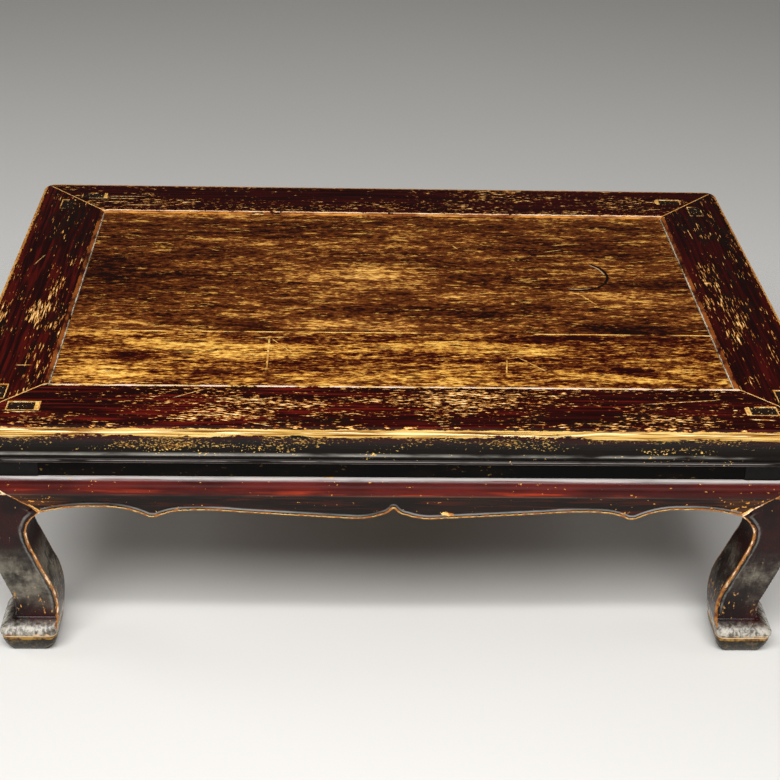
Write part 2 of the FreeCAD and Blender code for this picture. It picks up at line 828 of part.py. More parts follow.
def leg_outline(edge, proud):
    """The leg as sawn on one face, with its outer side standing proud by a height."""
    outer = edge - proud

    def arc(shares):
        return [Via(*leg_spot(outer, shares[0])), leg_spot(outer, shares[1])]

    outline = shoulder(outer) + [(outer + band_setback, mitre_level)]
    outline += arc(KNEE_FOOT_SHARES) + arc(SHIN_SHARES) + arc(ANKLE_SHARES) + arc(HOOF_SHARES)
    outline += [leg_spot(edge, LIP_FOOT_SHARES), leg_spot(edge, PAD_TOP_SHARES)]
    outline += [Via(*leg_spot(edge, PAD_SHARES[0])), leg_spot(edge, PAD_SHARES[1])]
    outline += [leg_spot(edge, PAD_HEEL_SHARES)]
    outline += [Via(*leg_spot(edge, HEEL_SHARES[0])), leg_spot(edge, HEEL_SHARES[1])]
    outline += [leg_spot(edge, HEEL_LIP_SHARES), leg_spot(edge, HEEL_TOP_SHARES)]
    outline += [Via(*leg_spot(edge, CALF_TOP_SHARES[0])), leg_spot(edge, CALF_TOP_SHARES[1])]
    outline += [Via(*leg_spot(edge, CALF_SHARES[0]))]
    return outline + inner_edge(edge)[::-1]


def leg_bead_outline(edge):
    """The raised bead along the leg's inner edge, fading into the edge above the ankle."""
    inner = inner_edge(edge)
    slide = size.bead_width * (mitre_run.value / size.mitre_drop.value)
    moved = [
        Via(p.across - slide, p.up + size.bead_width) if isinstance(p, Via)
        else (p[0] - slide, p[1] + size.bead_width)
        for p in inner
    ]
    return inner + [leg_spot(edge, BEAD_END_SHARES)] + moved[::-1]


def sawn(name, plane, outline, edge, proud):
    """A slab of the leg's stock sawn to an outline on one of its faces."""
    slab = new_body(name)
    stock_face = edge + size.apron_setback - proud
    stock_back = edge + size.apron_setback + size.leg_stock
    prism(slab, f"{name}_cut", plane, outline, stock_face, stock_back)
    return slab


def both_of(name, first, second):
    """What two shapes have in common."""
    shared = doc.addObject("Part::Common", name)
    shared.Base = first
    shared.Tool = second
    return shared


def make_front_left_leg():
    """Cabriole leg sawn from square stock on two faces, with post, tenons and keys on top."""
    side = -half_length
    front = -half_width
    front_view = sawn("leg_front_view", "XZ", leg_outline(side, ZERO), front, ZERO)
    side_view = sawn("leg_side_view", "YZ", leg_outline(front, ZERO), side, ZERO)
    proud = size.bead_height
    raised_front = sawn("leg_raised_front_view", "XZ", leg_outline(side, proud), front, proud)
    raised_side = sawn("leg_raised_side_view", "YZ", leg_outline(front, proud), side, proud)
    front_bead = sawn("leg_front_bead_view", "XZ", leg_bead_outline(side), front, proud)
    side_bead = sawn("leg_side_bead_view", "YZ", leg_bead_outline(front), side, proud)
    blank = doc.addObject("Part::MultiFuse", "leg_blank")
    blank.Shapes = [
        both_of("leg_sawn", front_view, side_view),
        both_of("leg_front_bead", front_bead, raised_side),
        both_of("leg_side_bead", side_bead, raised_front),
    ]

    leg = new_body("front_left_leg")
    leg.BaseFeature = blank
    post = box_outline(
        side + size.waist_setback,
        front + size.waist_setback,
        side + size.mitre_reach,
        front + size.mitre_reach,
    )
    prism(leg, "post", "XY", post, mitre_level, frame_base)
    long_tenon = box_outline(
        side + size.leg_tenon_start,
        front + size.leg_tenon_inset,
        side + long_tenon_end,
        front + leg_tenon_back,
    )
    short_tenon = box_outline(
        side + size.leg_tenon_inset,
        front + size.leg_tenon_start,
        side + leg_tenon_back,
        front + short_tenon_end,
    )
    tenon_top = top_level - size.tenon_set_back
    prism(leg, "long_tenon", "XY", long_tenon, frame_base, tenon_top)
    prism(leg, "short_tenon", "XY", short_tenon, frame_base, tenon_top)
    for name, outline in (
        ("front_key", key_outline(front, side, ZERO)),
        ("side_key", key_outline(side, front, ZERO, True)),
    ):
        prism(leg, name, "XY", outline, mitre_level, key_top)
    for name, plane, edge, side_edge in (
        ("front_socket", "XZ", front, side),
        ("side_socket", "YZ", side, front),
    ):
        low = edge + size.shoulder_tenon_depth - size.joint_gap
        high = edge + shoulder_tenon_back + size.joint_gap
        cut_prism(leg, name, plane, shoulder_tenon(side_edge, size.joint_gap), low, high)
    slot_base = waist_base + size.waist_tongue - size.joint_gap
    for name, plane, edge, side_edge in (
        ("front_waist_slot", "YZ", front, side),
        ("side_waist_slot", "XZ", side, front),
    ):
        slot = box_outline(
            edge + waist_tongue_front - size.joint_gap,
            slot_base,
            edge + waist_tongue_back + size.joint_gap,
            frame_base,
        )
        high = side_edge + size.mitre_reach
        cut_prism(leg, name, plane, slot, high - size.waist_tongue - size.joint_gap, high)
    return leg


def make_table():
    """Makes every piece and returns the list of them."""
    front_rail = make_front_rail()
    left_end_rail = make_left_end_rail()
    front_low = -opening_half_width + size.panel_gap
    front_board = make_board(
        "front_board", front_low, -seam, -opening_half_width - size.tongue_length, -seam
    )
    rear_high = opening_half_width - size.panel_gap
    rear_board = make_board(
        "rear_board", -seam, rear_high, -seam, opening_half_width + size.tongue_length
    )
    half_hole = size.peg_length * 0.5 + size.joint_gap
    cut_peg_holes(front_board, -seam - half_hole, -seam)
    cut_peg_holes(rear_board, -seam, -seam + half_hole)
    left_batten = make_left_batten()
    front_waist = make_waist("front_waist", "YZ", -half_width, half_length)
    left_waist = make_waist("left_waist", "XZ", -half_length, half_width)
    front_apron = make_apron("front_apron", True)
    left_apron = make_apron("left_apron", False)
    front_left_leg = make_front_left_leg()
    front_right_leg = mirrored(front_left_leg, "front_right_leg", ACROSS_LENGTH)
    return [
        front_rail,
        mirrored(front_rail, "back_rail", ACROSS_WIDTH),
        left_end_rail,
        mirrored(left_end_rail, "right_end_rail", ACROSS_LENGTH),
        front_board,
        rear_board,
        make_board_pegs(),
        left_batten,
        mirrored(left_batten, "right_batten", ACROSS_LENGTH),
        make_tenon_wedges(),
        front_waist,
        mirrored(front_waist, "back_waist", ACROSS_WIDTH),
        left_waist,
        mirrored(left_waist, "right_waist", ACROSS_LENGTH),
        front_apron,
        mirrored(front_apron, "back_apron", ACROSS_WIDTH),
        left_apron,
        mirrored(left_apron, "right_apron", ACROSS_LENGTH),
        front_left_leg,
        front_right_leg,
        mirrored(front_left_leg, "back_left_leg", ACROSS_WIDTH),
        mirrored(front_right_leg, "back_right_leg", ACROSS_WIDTH),
    ]


def check(pieces):
    """Stops if any object failed, any cut removed nothing or any piece isn't sound."""
    for item in doc.Objects:
        if "Invalid" in item.State or "Error" in item.State:
            raise RuntimeError(f"{item.Label} failed: {item.State}")
        if item.TypeId == "PartDesign::Pocket":
            if item.Shape.Volume >= item.BaseFeature.Shape.Volume:
                raise RuntimeError(f"{item.Label} cuts nothing")
    for piece in pieces:
        if piece.Shape.isNull() or not piece.Shape.isValid():
            raise RuntimeError(f"{piece.Label} has no sound shape")


def export(pieces):
    """Writes each piece to its own file."""
    os.makedirs("parts", exist_ok=True)
    for piece in pieces:
        piece.Shape.exportStep(f"parts/{piece.Label}.step")
        solids = len(piece.Shape.Solids)
        print(f"{piece.Label}: {solids} solid(s), {piece.Shape.Volume / 1000:.1f} cm3")


pieces = make_table()
doc.recompute()
check(pieces)
export(pieces)
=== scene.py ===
import math

import bmesh
import bpy
from mathutils import Matrix, Vector, noise
from mathutils.kdtree import KDTree


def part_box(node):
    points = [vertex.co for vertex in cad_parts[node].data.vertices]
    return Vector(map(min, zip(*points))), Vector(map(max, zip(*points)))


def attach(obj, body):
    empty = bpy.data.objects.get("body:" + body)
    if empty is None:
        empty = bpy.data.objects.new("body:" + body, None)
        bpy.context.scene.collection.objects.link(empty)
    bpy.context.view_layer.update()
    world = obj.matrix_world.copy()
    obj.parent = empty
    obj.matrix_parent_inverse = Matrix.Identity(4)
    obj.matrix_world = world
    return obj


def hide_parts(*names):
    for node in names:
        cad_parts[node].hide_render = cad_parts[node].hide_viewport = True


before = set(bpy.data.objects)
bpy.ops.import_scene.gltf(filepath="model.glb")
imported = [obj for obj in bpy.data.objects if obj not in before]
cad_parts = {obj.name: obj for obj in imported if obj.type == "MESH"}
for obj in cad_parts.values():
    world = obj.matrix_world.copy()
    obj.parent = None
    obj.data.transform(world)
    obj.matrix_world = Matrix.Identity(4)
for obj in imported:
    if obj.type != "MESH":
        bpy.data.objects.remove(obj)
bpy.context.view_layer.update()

# A low table in worn oxblood lacquer: looks of every piece, in metres, in the frame's own coordinates
MM = 0.001
WELD = 0.005 * MM
LONG_RAILS = ("front_rail", "back_rail")
LONG_APRONS = ("front_apron", "back_apron")
END_APRONS = ("left_apron", "right_apron")
LEGS = ("front_left_leg", "front_right_leg", "back_left_leg", "back_right_leg")
WAISTS = ("front_waist", "back_waist", "left_waist", "right_waist")
BATTENS = ("left_batten", "right_batten")

FRAME_LOW, FRAME_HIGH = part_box("front_rail")
HALF_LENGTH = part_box("right_end_rail")[1].x
HALF_WIDTH = -FRAME_LOW.y
TOP_LEVEL = FRAME_HIGH.z
RAIL_WIDTH = FRAME_HIGH.y - FRAME_LOW.y
PANEL_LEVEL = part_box("rear_board")[1].z
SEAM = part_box("rear_board")[0].y
WAIST_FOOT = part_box("front_apron")[1].z
RIDGE_LEVEL = WAIST_FOOT - 18 * MM
MITRE_LEVEL = WAIST_FOOT - 41 * MM
MITRE_REACH = 84.5 * MM
CORNER_ROUND = 15 * MM
BEVEL_START = RAIL_WIDTH - 4.5 * MM
PANEL_ROOM = 0.5 * MM

# Leg tenons in the rails, as distances from the top's two nearest edges
TENON_SPAN = (56 * MM, 84 * MM)
WEDGED_SPAN = (56 * MM, 88 * MM)
TENON_DEPTH = (32 * MM, 48 * MM)

# Colours are codes of how they look on screen
BLOOD_BLACK = "140100"
OXBLOOD = "350402"
WARM_OXBLOOD = "581007"
SOOT = "120a05"
BROWN_PATINA = "8a4417"
RAW_WOOD = "7d6244"
RAW_WOOD_DARK = "4d3925"


def tint(code):
    """A colour's code as linear values."""
    parts = [int(code[i:i + 2], 16) / 255 for i in (0, 2, 4)]
    return tuple(((c + 0.055) / 1.055) ** 2.4 if c > 0.04045 else c / 12.92 for c in parts) + (1.0,)


class Signal:
    """A value in a node tree, which plain sums join to others."""

    def __init__(self, wiring, socket):
        self.wiring = wiring
        self.socket = socket

    def __add__(self, other):
        return self.wiring.math("ADD", self, other)

    def __sub__(self, other):
        return self.wiring.math("SUBTRACT", self, other)

    def __rsub__(self, other):
        return self.wiring.math("SUBTRACT", other, self)

    def __mul__(self, other):
        return self.wiring.math("MULTIPLY", self, other)

    def __truediv__(self, other):
        return self.wiring.math("DIVIDE", self, other)

    def __abs__(self):
        return self.wiring.math("ABSOLUTE", self)


class Wiring:
    """Short calls that add nodes to a tree and join them."""

    def __init__(self, tree):
        self.nodes = tree.nodes
        self.links = tree.links

    def feed(self, socket, value):
        """Joins a socket to a signal, or sets it to a plain value or a colour's code."""
        if isinstance(value, Signal):
            self.links.new(value.socket, socket)
        else:
            socket.default_value = tint(value) if isinstance(value, str) else value

    def node(self, kind, inputs=(), **settings):
        node = self.nodes.new(kind)
        for name, value in settings.items():
            setattr(node, name, value)
        for name, value in dict(inputs).items():
            self.feed(node.inputs[name], value)
        return node

    def through(self, kind, inputs=(), output=0, **settings):
        """Adds a node and gives the signal of one output."""
        return Signal(self, self.node(kind, inputs, **settings).outputs[output])

    def math(self, operation, *values, clamp=False):
        return self.through("ShaderNodeMath", enumerate(values), operation=operation, use_clamp=clamp)

    def most(self, largest, *others):
        for other in others:
            largest = self.math("MAXIMUM", largest, other)
        return largest

    def parted(self, vector):
        return [Signal(self, output) for output in self.node("ShaderNodeSeparateXYZ", {0: vector}).outputs]


class Finish(Wiring):
    """A material whose colours are laid one over another."""

    def __init__(self, name):
        self.material = bpy.data.materials.new(name)
        self.material.use_nodes = True
        super().__init__(self.material.node_tree)
        self.shader = self.nodes["Principled BSDF"]
        self.place = self.through("ShaderNodeTexCoord", output="Object")
        self.x, self.y, self.z = self.parted(self.place)
        facing = self.through("ShaderNodeNewGeometry", output="Normal")
        self.facing_x, self.facing_y, self.facing_up = self.parted(facing)

    def fade(self, value, start, end):
        """0 at start, 1 at end, smooth between."""
        inputs = {"Value": value, "From Min": start, "From Max": end}
        return self.through("ShaderNodeMapRange", inputs, "Result", interpolation_type="SMOOTHSTEP")

    def between(self, value, low, high, soft):
        """1 from low to high, with soft edges."""
        return self.fade(value, low - soft, low + soft) * self.fade(value, high + soft, high - soft)

    def grain(self, per_metre, detail=2.0, roughness=0.6, seed=0.0, warp=0.0):
        """Noise with its own number of marks a metre along x, y and z."""
        inputs = {"Vector": self.place, "Location": (seed, seed * 1.7, seed * 2.3), "Scale": per_metre}
        spot = self.through("ShaderNodeMapping", inputs)
        inputs = {"Vector": spot, "Scale": 1, "Detail": detail, "Roughness": roughness, "Distortion": warp}
        return self.through("ShaderNodeTexNoise", inputs, "Fac")

    def moved(self, centre, radii, turn):
        """Place on the top, measured from a centre in radii along and across a turned line."""
        inputs = {"Location": (*centre, PANEL_LEVEL), "Rotation": (0, 0, turn), "Scale": (*radii, 1)}
        return self.through("ShaderNodeMapping", {"Vector": self.place, **inputs}, vector_type="TEXTURE")

    def patches(self, places):
        """Worn places, each fading from its centre to its radii."""
        total = 0.0
        for x, y, length, width, turn, strength in places:
            spot = self.moved((x * MM, y * MM), (length * MM, width * MM), math.radians(turn))
            patch = self.through("ShaderNodeTexGradient", {0: spot}, "Fac", gradient_type="SPHERICAL")
            total = patch * strength + total
        return total

    def scratches(self, lines, rag):
        """1 along straight scratches on the top, each from a start to an end."""
        total = 0.0
        for *ends, half_width in lines:
            start, end = Vector(ends[:2]) * MM, Vector(ends[2:]) * MM
            run = end - start
            radii = (run.length / 2, half_width * MM)
            spot = self.moved((start + end) / 2, radii, math.atan2(run.y, run.x))
            along_run, across, _ = self.parted(spot)
            reach = self.most(abs(along_run), abs(across + rag))
            total = self.most(total, self.fade(reach, 1.0, 0.5))
        return total

    def ramp(self, value, stops):
        node = self.node("ShaderNodeValToRGB", {0: value})
        elements = node.color_ramp.elements
        while len(elements) < len(stops):
            elements.new(1)
        for element, (position, code) in zip(elements, stops):
            element.position = position
            element.color = tint(code)
        return Signal(self, node.outputs["Color"])

    def mix(self, factor, first, second):
        return self.through("ShaderNodeMix", {0: factor, 6: first, 7: second}, 2, data_type="RGBA")

    def tones(self, value, start, end, first, second):
        """The first colour up to start, the second from end on."""
        return self.mix(self.fade(value, start, end), first, second)

    def lay(self, colour, where):
        """Lays a colour over those before it where a mask is 1."""
        self.colour = self.mix(where, self.colour, colour)

    def bump(self, height, distance):
        bump = self.through("ShaderNodeBump", {"Height": height, "Distance": distance})
        self.feed(self.shader.inputs["Normal"], bump)

    def finish(self, roughness, specular):
        self.feed(self.shader.inputs["Base Color"], self.colour)
        self.feed(self.shader.inputs["Roughness"], roughness)
        self.feed(self.shader.inputs["Specular IOR Level"], specular)
        return self.material


def along(axis, run, across):
    """Marks a metre for a grain that runs along one axis."""
    return tuple(run if i == axis else across for i in range(3))


def underside(f, hidden=0.0):
    """Raw softwood where a surface faces down or is hidden inside."""
    fibre = f.grain((14, 14, 14), 6, 0.65, seed=4.1)
    raw = f.tones(fibre, 0.35, 0.65, RAW_WOOD_DARK, RAW_WOOD)
    f.lay(raw, f.most(f.fade(f.facing_up, -0.6, -0.8), hidden))


# Rails of the top

FLECK_STOPS = (
    (0.528, BLOOD_BLACK), (0.545, "4a1406"), (0.556, BROWN_PATINA), (0.574, "b57a34"),
    (0.606, "e0b068"), (0.665, "fbe0aa"),
)
BAND_STOPS = ((0.34, "52260a"), (0.42, "946124"), (0.49, "c29748"), (0.57, "dcb468"), (0.68, "f0d48c"))
# Worn and dark places on the top, in millimetres: centre x and y, the two radii, turn in degrees, strength
FRONT_WEAR = (
    (-213, -303, 50, 12, 0, 0.13), (-172, -296, 60, 14, -6, 0.15), (5, -273, 160, 30, 0, 0.04),
    (-180, -268, 140, 30, 0, 0.065), (271, -300, 90, 30, 0, 0.02), (-360, -270, 120, 50, 0, -0.02),
    (200, -295, 80, 20, 0, -0.07), (-50, -306, 300, 12, 0, -0.05), (120, -262, 140, 30, 0, 0.03),
    (-387, -312, 20, 12, 0, 0.04),
)
BACK_WEAR = (
    (-260, 250, 140, 30, 0, 0.06), (50, 245, 200, 18, 0, 0.05), (220, 280, 200, 30, 0, 0.02),
    (-100, 295, 300, 30, 0, -0.05),
)
LEFT_WEAR = (
    (-404, -60, 20, 90, -5, 0.07), (-396, 30, 22, 80, -4, 0.05), (-452, -60, 12, 50, 0, 0.1),
    (-410, 200, 70, 150, 0, -0.06), (-415, -50, 90, 450, 0, -0.035), (-385, -180, 30, 80, 0, 0.02),
    (-430, -160, 30, 90, 0, -0.05),
)
RIGHT_WEAR = (
    (405, -60, 30, 140, 4, 0.03), (420, 220, 70, 100, 0, -0.06), (400, 70, 30, 60, 0, 0.03),
    (432, -150, 22, 100, 0, 0.03), (430, 20, 30, 120, 0, -0.03), (415, 0, 90, 450, 0, -0.035),
)
# Scratches on the top, in millimetres: start x and y, end x and y, half width
FRONT_SCRATCHES = (
    (-236, -262, -200, -241, 0.7), (-155, -309, -128, -318, 0.6), (262, -268, 352, -257, 0.7),
    (369.7, -297.3, 400.1, -299.2, 1.2), (357.5, -278.9, 362.8, -279.2, 1.3), (-402, -292, -372, -292.5, 1),
)
BACK_SCRATCHES = (
    (-376, 260.2, -340, 260.6, 0.9), (-372, 278, -318, 279, 0.8), (-372, 271, -330, 271.4, 0.8),
    (-345, 250, -300, 250.4, 1), (-318, 290, -311, 279, 0.8),
)
LEFT_SCRATCHES = (
    (-412, -193, -392, -193, 0.8), (-434, 60, -424, 92, 0.5), (-414.5, 274.8, -398.8, 275.3, 1),
)
RIGHT_SCRATCHES = (
    (398.2, 190.8, 399.7, 158.1, 0.7), (391.5, -204.2, 394.8, -211.9, 0.6),
    (385.9, -218, 382.3, -222.7, 0.6), (389, 31, 397, 27, 2.6),
)
# Stripes along a rail's inner edge: start and end as setbacks, two tones, share left bare; the pale white
# and grey stripes on the bevel are painted highlights over worn wood, the brown ones wear
FRONT_STRIPES = ((BEVEL_START - 3.2 * MM, RAIL_WIDTH, "d8ae62", "f0d6c0", 0.40),)
BACK_STRIPES = (
    (BEVEL_START - 0.4 * MM, BEVEL_START + 1.2 * MM, "dcae80", "f6d4ae", 0.38),
    (BEVEL_START + 1.8 * MM, RAIL_WIDTH, "7a3e12", "c88434", 0.36),
)
END_STRIPES = (
    (BEVEL_START - 0.6 * MM, BEVEL_START + 3.4 * MM, "3c1406", "8a4a1c", 0.38),
    (BEVEL_START + 3.7 * MM, RAIL_WIDTH + PANEL_ROOM, "8f8068", "cdc4ae", 0.38),
)
# Moulding on a rail's outer side, as depths under the top
SIDE_START = (2.8 * MM, 4.2 * MM)
BAND_START = (2.3 * MM, 3.2 * MM)
# Middle of the band's pale core: worn wood, partly painted as a highlight
BAND_CORE = 6.6 * MM
RED_FOOT = (27 * MM, 15 * MM)
# Painted grey sheen on the moulding's lower lip, and two painted highlight lines on its bead
PAINTED_SHEEN_LIP = (38 * MM, 41.8 * MM)
PAINTED_HIGHLIGHT_LINES = ((46.4 * MM, 47.4 * MM), (49.2 * MM, 50.0 * MM))


def moulded_side(f, axis, depth, band_foot, band_worn):
    """Outer side of a rail: pale worn band under the arris with a core that is partly a painted highlight,
    soot and red lacquer below it, a painted grey sheen on the lip and painted highlight lines on the bead.
    """
    top_colour = f.colour
    flecks = f.grain(along(axis, 330, 520), 2, seed=3.2)
    clusters = f.grain(along(axis, 14, 60), 3, seed=8.8)
    clouds = f.grain(along(axis, 22, 90), 3, seed=5.9)
    f.colour = f.mix(clouds, "050302", "150d07")
    f.lay("340402", f.fade(depth, *RED_FOOT) * f.fade(clouds, 0.36, 0.54))
    # Painted sheen: a pale grey band on the lip where light catches it, stronger towards the left
    lip = f.between(depth, *PAINTED_SHEEN_LIP, 1.6 * MM) * f.fade(clusters + f.x * -0.25, 0.34, 0.62)
    f.lay("98948c", lip * 0.65)
    # Painted highlights: two thin pale lines along the bead
    lines = f.most(*(f.between(depth, *span, 0.3 * MM) for span in PAINTED_HIGHLIGHT_LINES))
    f.lay("8a827e", lines * f.fade(clusters, 0.38, 0.50) * 0.6)
    mark = f.fade(flecks * 0.6 + clusters * 0.55 + depth * -3.2, 0.588, 0.606)
    f.lay(f.tones(flecks, 0.54, 0.64, "6e4415", "d9ac5a"), mark)
    f.colour = f.mix(f.fade(depth, *SIDE_START), top_colour, f.colour)
    rag = f.grain(along(axis, 90, 260), 4, 0.65, seed=6.1)
    slow = f.grain(along(axis, 9, 9), 2, 0.5, seed=2.6)
    streak = f.grain(along(axis, 14, 520), 3, seed=7.2)
    low = depth + (rag - 0.5) * (-15 * MM) + (slow - 0.5) * (-14 * MM)
    high = depth + (rag - 0.5) * (5 * MM)
    band = f.fade(low, band_foot + 0.6 * MM, band_foot - 0.6 * MM) * f.fade(high, *BAND_START)
    band = band * f.fade(slow + rag * 0.4, band_worn, band_worn + 0.03)
    # Pale core of the band: worn wood, partly a painted highlight
    from_core = abs(depth - BAND_CORE + (slow - 0.5) * (10 * MM))
    core = f.fade(from_core, 1.3 * MM, 0.3 * MM) * f.fade(streak + (clusters - 0.5) * 0.4, 0.42, 0.54)
    f.lay(f.mix(core, f.ramp(streak, BAND_STOPS), "fff4c4"), band)
    return f.most(mark, band)


def rail_finish(name, axis, worn, scratches, stripes, band_foot, band_worn, arris_worn, fieriness):
    """Oxblood lacquer on a rail of the top, worn to pale wood in flecks and along its edges, with painted
    highlights on its inner bevel and moulding.
    """
    f = Finish(name)
    setback_x, setback_y = HALF_LENGTH - abs(f.x), HALF_WIDTH - abs(f.y)
    setback, end_run = (setback_y, setback_x) if axis == 0 else (setback_x, setback_y)
    depth = TOP_LEVEL - f.z
    flecks = f.grain((110, 420, 420) if axis == 0 else (660, 54, 660), 2.5, seed=7.7)
    clusters = f.grain(along(axis, 30, 85), 3, seed=5.2)
    zones = f.grain(along(axis, 7, 22), 3, 0.55, seed=2.9)
    streaks = f.grain(along(axis, 9, 240), 4, seed=9.1)
    rag = f.grain(along(axis, 160, 160), 3, seed=3.7)
    wear = flecks * 0.62 + clusters * 0.26 + zones * 0.22 + f.patches(worn) - 0.076

    f.colour = f.tones(streaks, 0.38, 0.68, BLOOD_BLACK, OXBLOOD)
    warmth = streaks + zones * -0.5 + f.x * -0.12
    f.lay(WARM_OXBLOOD, f.fade(warmth, 0.30, 0.44) * fieriness)
    f.lay(SOOT, f.fade(clusters + zones, 1.04, 1.18) * 0.7)
    f.lay(f.ramp(wear, FLECK_STOPS), f.fade(wear, 0.530, 0.552))
    mark = f.most(f.fade(wear, 0.55, 0.60), moulded_side(f, axis, depth, band_foot, band_worn))

    upper = f.fade(depth, 4.6 * MM, 3.6 * MM)
    edge_rag = (rag - 0.5) * (9 * MM)
    if arris_worn:
        arris = f.fade(setback + edge_rag, arris_worn + 0.5 * MM, arris_worn - 0.5 * MM) * upper
        f.lay(f.tones(rag, 0.42, 0.6, "9a5e22", "d29a4e"), arris)
        mark = f.most(mark, arris)
    # Stripes on the inner bevel: worn wood, the pale ones also painted highlights
    for start, end, first, second, bare in stripes:
        inside = f.between(setback + edge_rag * 0.35, start, end, 0.3 * MM) * upper
        inside = inside * f.fade(clusters * 0.6 + rag * 0.4, bare, bare + 0.06)
        f.lay(f.tones(clusters, 0.40, 0.60, first, second), inside)

    gap = abs(setback_x - setback_y) + edge_rag * 0.45
    mitre = f.fade(gap, 1.3 * MM, 0.5 * MM) * f.fade(setback, 6 * MM, 12 * MM) * upper
    (near, far), (start, end) = TENON_DEPTH, WEDGED_SPAN if axis == 0 else TENON_SPAN
    across = abs(setback - (near + far) / 2) - (far - near) / 2
    run = abs(end_run - (start + end) / 2) - (end - start) / 2
    outline = f.fade(f.most(across, run) + edge_rag * 0.4, 1.7 * MM, 0.9 * MM) * upper
    outline = outline * f.fade(clusters + f.y * -0.25, 0.40, 0.48)
    lines = f.most(mitre, outline, f.scratches(scratches, (rag - 0.5) * 2.5) * upper)
    f.lay(f.tones(rag, 0.40, 0.62, "b5762c", "f3cf8c"), lines)
    underside(f, f.fade(setback, 18 * MM, 22 * MM) * f.fade(depth, 5 * MM, 7 * MM))
    mark = f.most(mark, lines)
    f.bump(wear * 0.5 + mark * -0.3 + streaks * 0.3, 0.25 * MM)
    dulled = f.between(depth, 0.6 * MM, 3 * MM, 0.4 * MM) * 0.3
    return f.finish(mark * 0.14 + dulled + 0.36, 0.12)


# Boards of the panel

REAR_STOPS = (
    (0.345, "120300"), (0.405, "2c0500"), (0.448, "471f04"), (0.500, "5b2c0a"),
    (0.552, "723c15"), (0.608, "b27836"), (0.665, "dba24a"), (0.740, "ecc070"),
)
FRONT_STOPS = (
    (0.345, "1c0100"), (0.410, "380600"), (0.462, "5c2a08"), (0.500, "86501c"),
    (0.540, "b0742c"), (0.595, "d6a044"), (0.665, "ecc060"), (0.740, "f6d88a"),
)
REAR_WEAR = (
    (-25, 42, 130, 50, 0, 0.19), (20, 62, 100, 22, 0, 0.06), (-134, -58, 70, 20, 4, 0.1),
    (-64, -87, 120, 16, 0, 0.11), (-300, -85, 160, 30, 0, 0.07), (-330, 80, 150, 140, 0, -0.085),
    (250, 150, 200, 50, 0, -0.035), (310, -20, 120, 35, 0, 0.05), (-250, 219, 220, 14, 0, 0.13),
    (100, 221, 350, 8, 0, 0.06), (100, -60, 250, 30, 0, -0.03), (-240, 150, 100, 20, 0, 0.05),
    (300, -96, 100, 18, 0, -0.09), (160, 190, 100, 16, 0, -0.05),
)
FRONT_BOARD_WEAR = (
    (-227, -139, 90, 28, 0, 0.1), (-291, -164, 50, 16, 0, -0.13), (-330, -200, 90, 25, 0, 0.06),
    (-350, -125, 60, 20, 0, -0.03), (43, -134, 80, 13, 0, 0.1), (9, -158, 70, 14, 0, -0.1),
    (7, -197, 160, 22, 0, 0.09), (156, -148, 60, 20, 0, 0.05), (271, -206, 90, 16, 0, 0.09),
    (267, -193, 50, 12, -8, -0.24), (240, -118, 180, 14, 0, -0.11), (335, -150, 50, 40, 0, -0.05),
    (-100, -215, 300, 12, 0, 0.07), (-110, -175, 100, 16, 0, -0.05),
)
REAR_SCRATCHES = (
    (230, 2, 250, -32, 0.9), (-94, 130, -86, 142, 0.7), (85, 137, 92, 126, 1), (146, -30, 150, -26, 2.2),
    (212, 139, 240, 146, 0.8), (200, 120, 226, 128, 0.6), (-330, 120, -300, 126, 0.5),
    (-140, -20, -100, -14, 0.5),
)
FRONT_BOARD_SCRATCHES = (
    (-138, -113, -139, -200, 1.3), (-156, -120, -118, -117, 1.3), (-138, -118, -108, -160, 0.6),
    (128, -165, 124, -205, 1), (140, -160, 172, -196, 0.7), (128, -165, 150, -158, 0.8),
)
CRACK_CENTRE, CRACK_RADIUS = (0.230, 0.052), 42 * MM


def board_finish(name, stops, level, islands_left, worn, scratches, seam_tone):
    """Lacquer rubbed down to brown and gold wood along the grain of a board."""
    f = Finish(name)
    speckle = f.grain((150, 420, 420), 2, seed=1.9)
    dashes = f.grain((80, 360, 360), 3, seed=8.3)
    streaks = f.grain((20, 140, 140), 4, seed=6.4)
    zones = f.grain((6, 24, 24), 4, seed=2.2, warp=0.3)
    islands = f.grain((20, 105, 105), 5, 0.66, seed=3.1)
    wear = speckle * 0.48 + dashes * 0.40 + streaks * 0.34 + zones * 0.42
    wear = wear + f.patches(worn) + level
    f.colour = f.ramp(wear, stops)
    bare = f.fade(islands, 0.565, 0.585) * f.fade(wear, 0.44, 0.54) * 0.55
    f.lay(f.tones(speckle, 0.38, 0.62, "b8782c", "e6b456"), bare)
    lacquered = f.fade(islands, 0.440, 0.424) * islands_left
    f.lay(f.tones(speckle, 0.40, 0.62, "2a0501", "5a2809"), lacquered)

    rag = f.grain((140, 140, 140), 3, seed=3.7)
    uneven = rag - 0.5
    broken = f.fade(f.grain((18, 18, 18), 3, seed=4.4), 0.40, 0.50)
    seam = f.fade(abs(f.y - SEAM + uneven * (2 * MM)), 1.7 * MM, 0.7 * MM) * broken
    lines = f.most(f.scratches(scratches, uneven * 2.5), seam)
    f.lay(f.tones(rag, 0.40, 0.60, seam_tone, "e2b866"), lines)
    across, up = f.x - CRACK_CENTRE[0], f.y - CRACK_CENTRE[1]
    from_ring = f.math("SQRT", across * across + up * up) - CRACK_RADIUS + uneven * (3 * MM)
    open_part = f.fade(across + up * -0.5, 6 * MM, 12 * MM)
    crack = f.fade(abs(from_ring), 2.4 * MM, 1.2 * MM) * open_part
    f.lay("0e0502", crack)
    f.lay("b09472", f.fade(abs(from_ring + 3.4 * MM), 1.2 * MM, 0.5 * MM) * open_part * broken)
    underside(f)
    f.bump(wear * -0.6 + streaks * -0.4 + crack * -1.0, 0.3 * MM)
    return f.finish(f.fade(wear, 0.45, 0.6) * 0.12 + 0.40, 0.12)


# Aprons, legs and waist

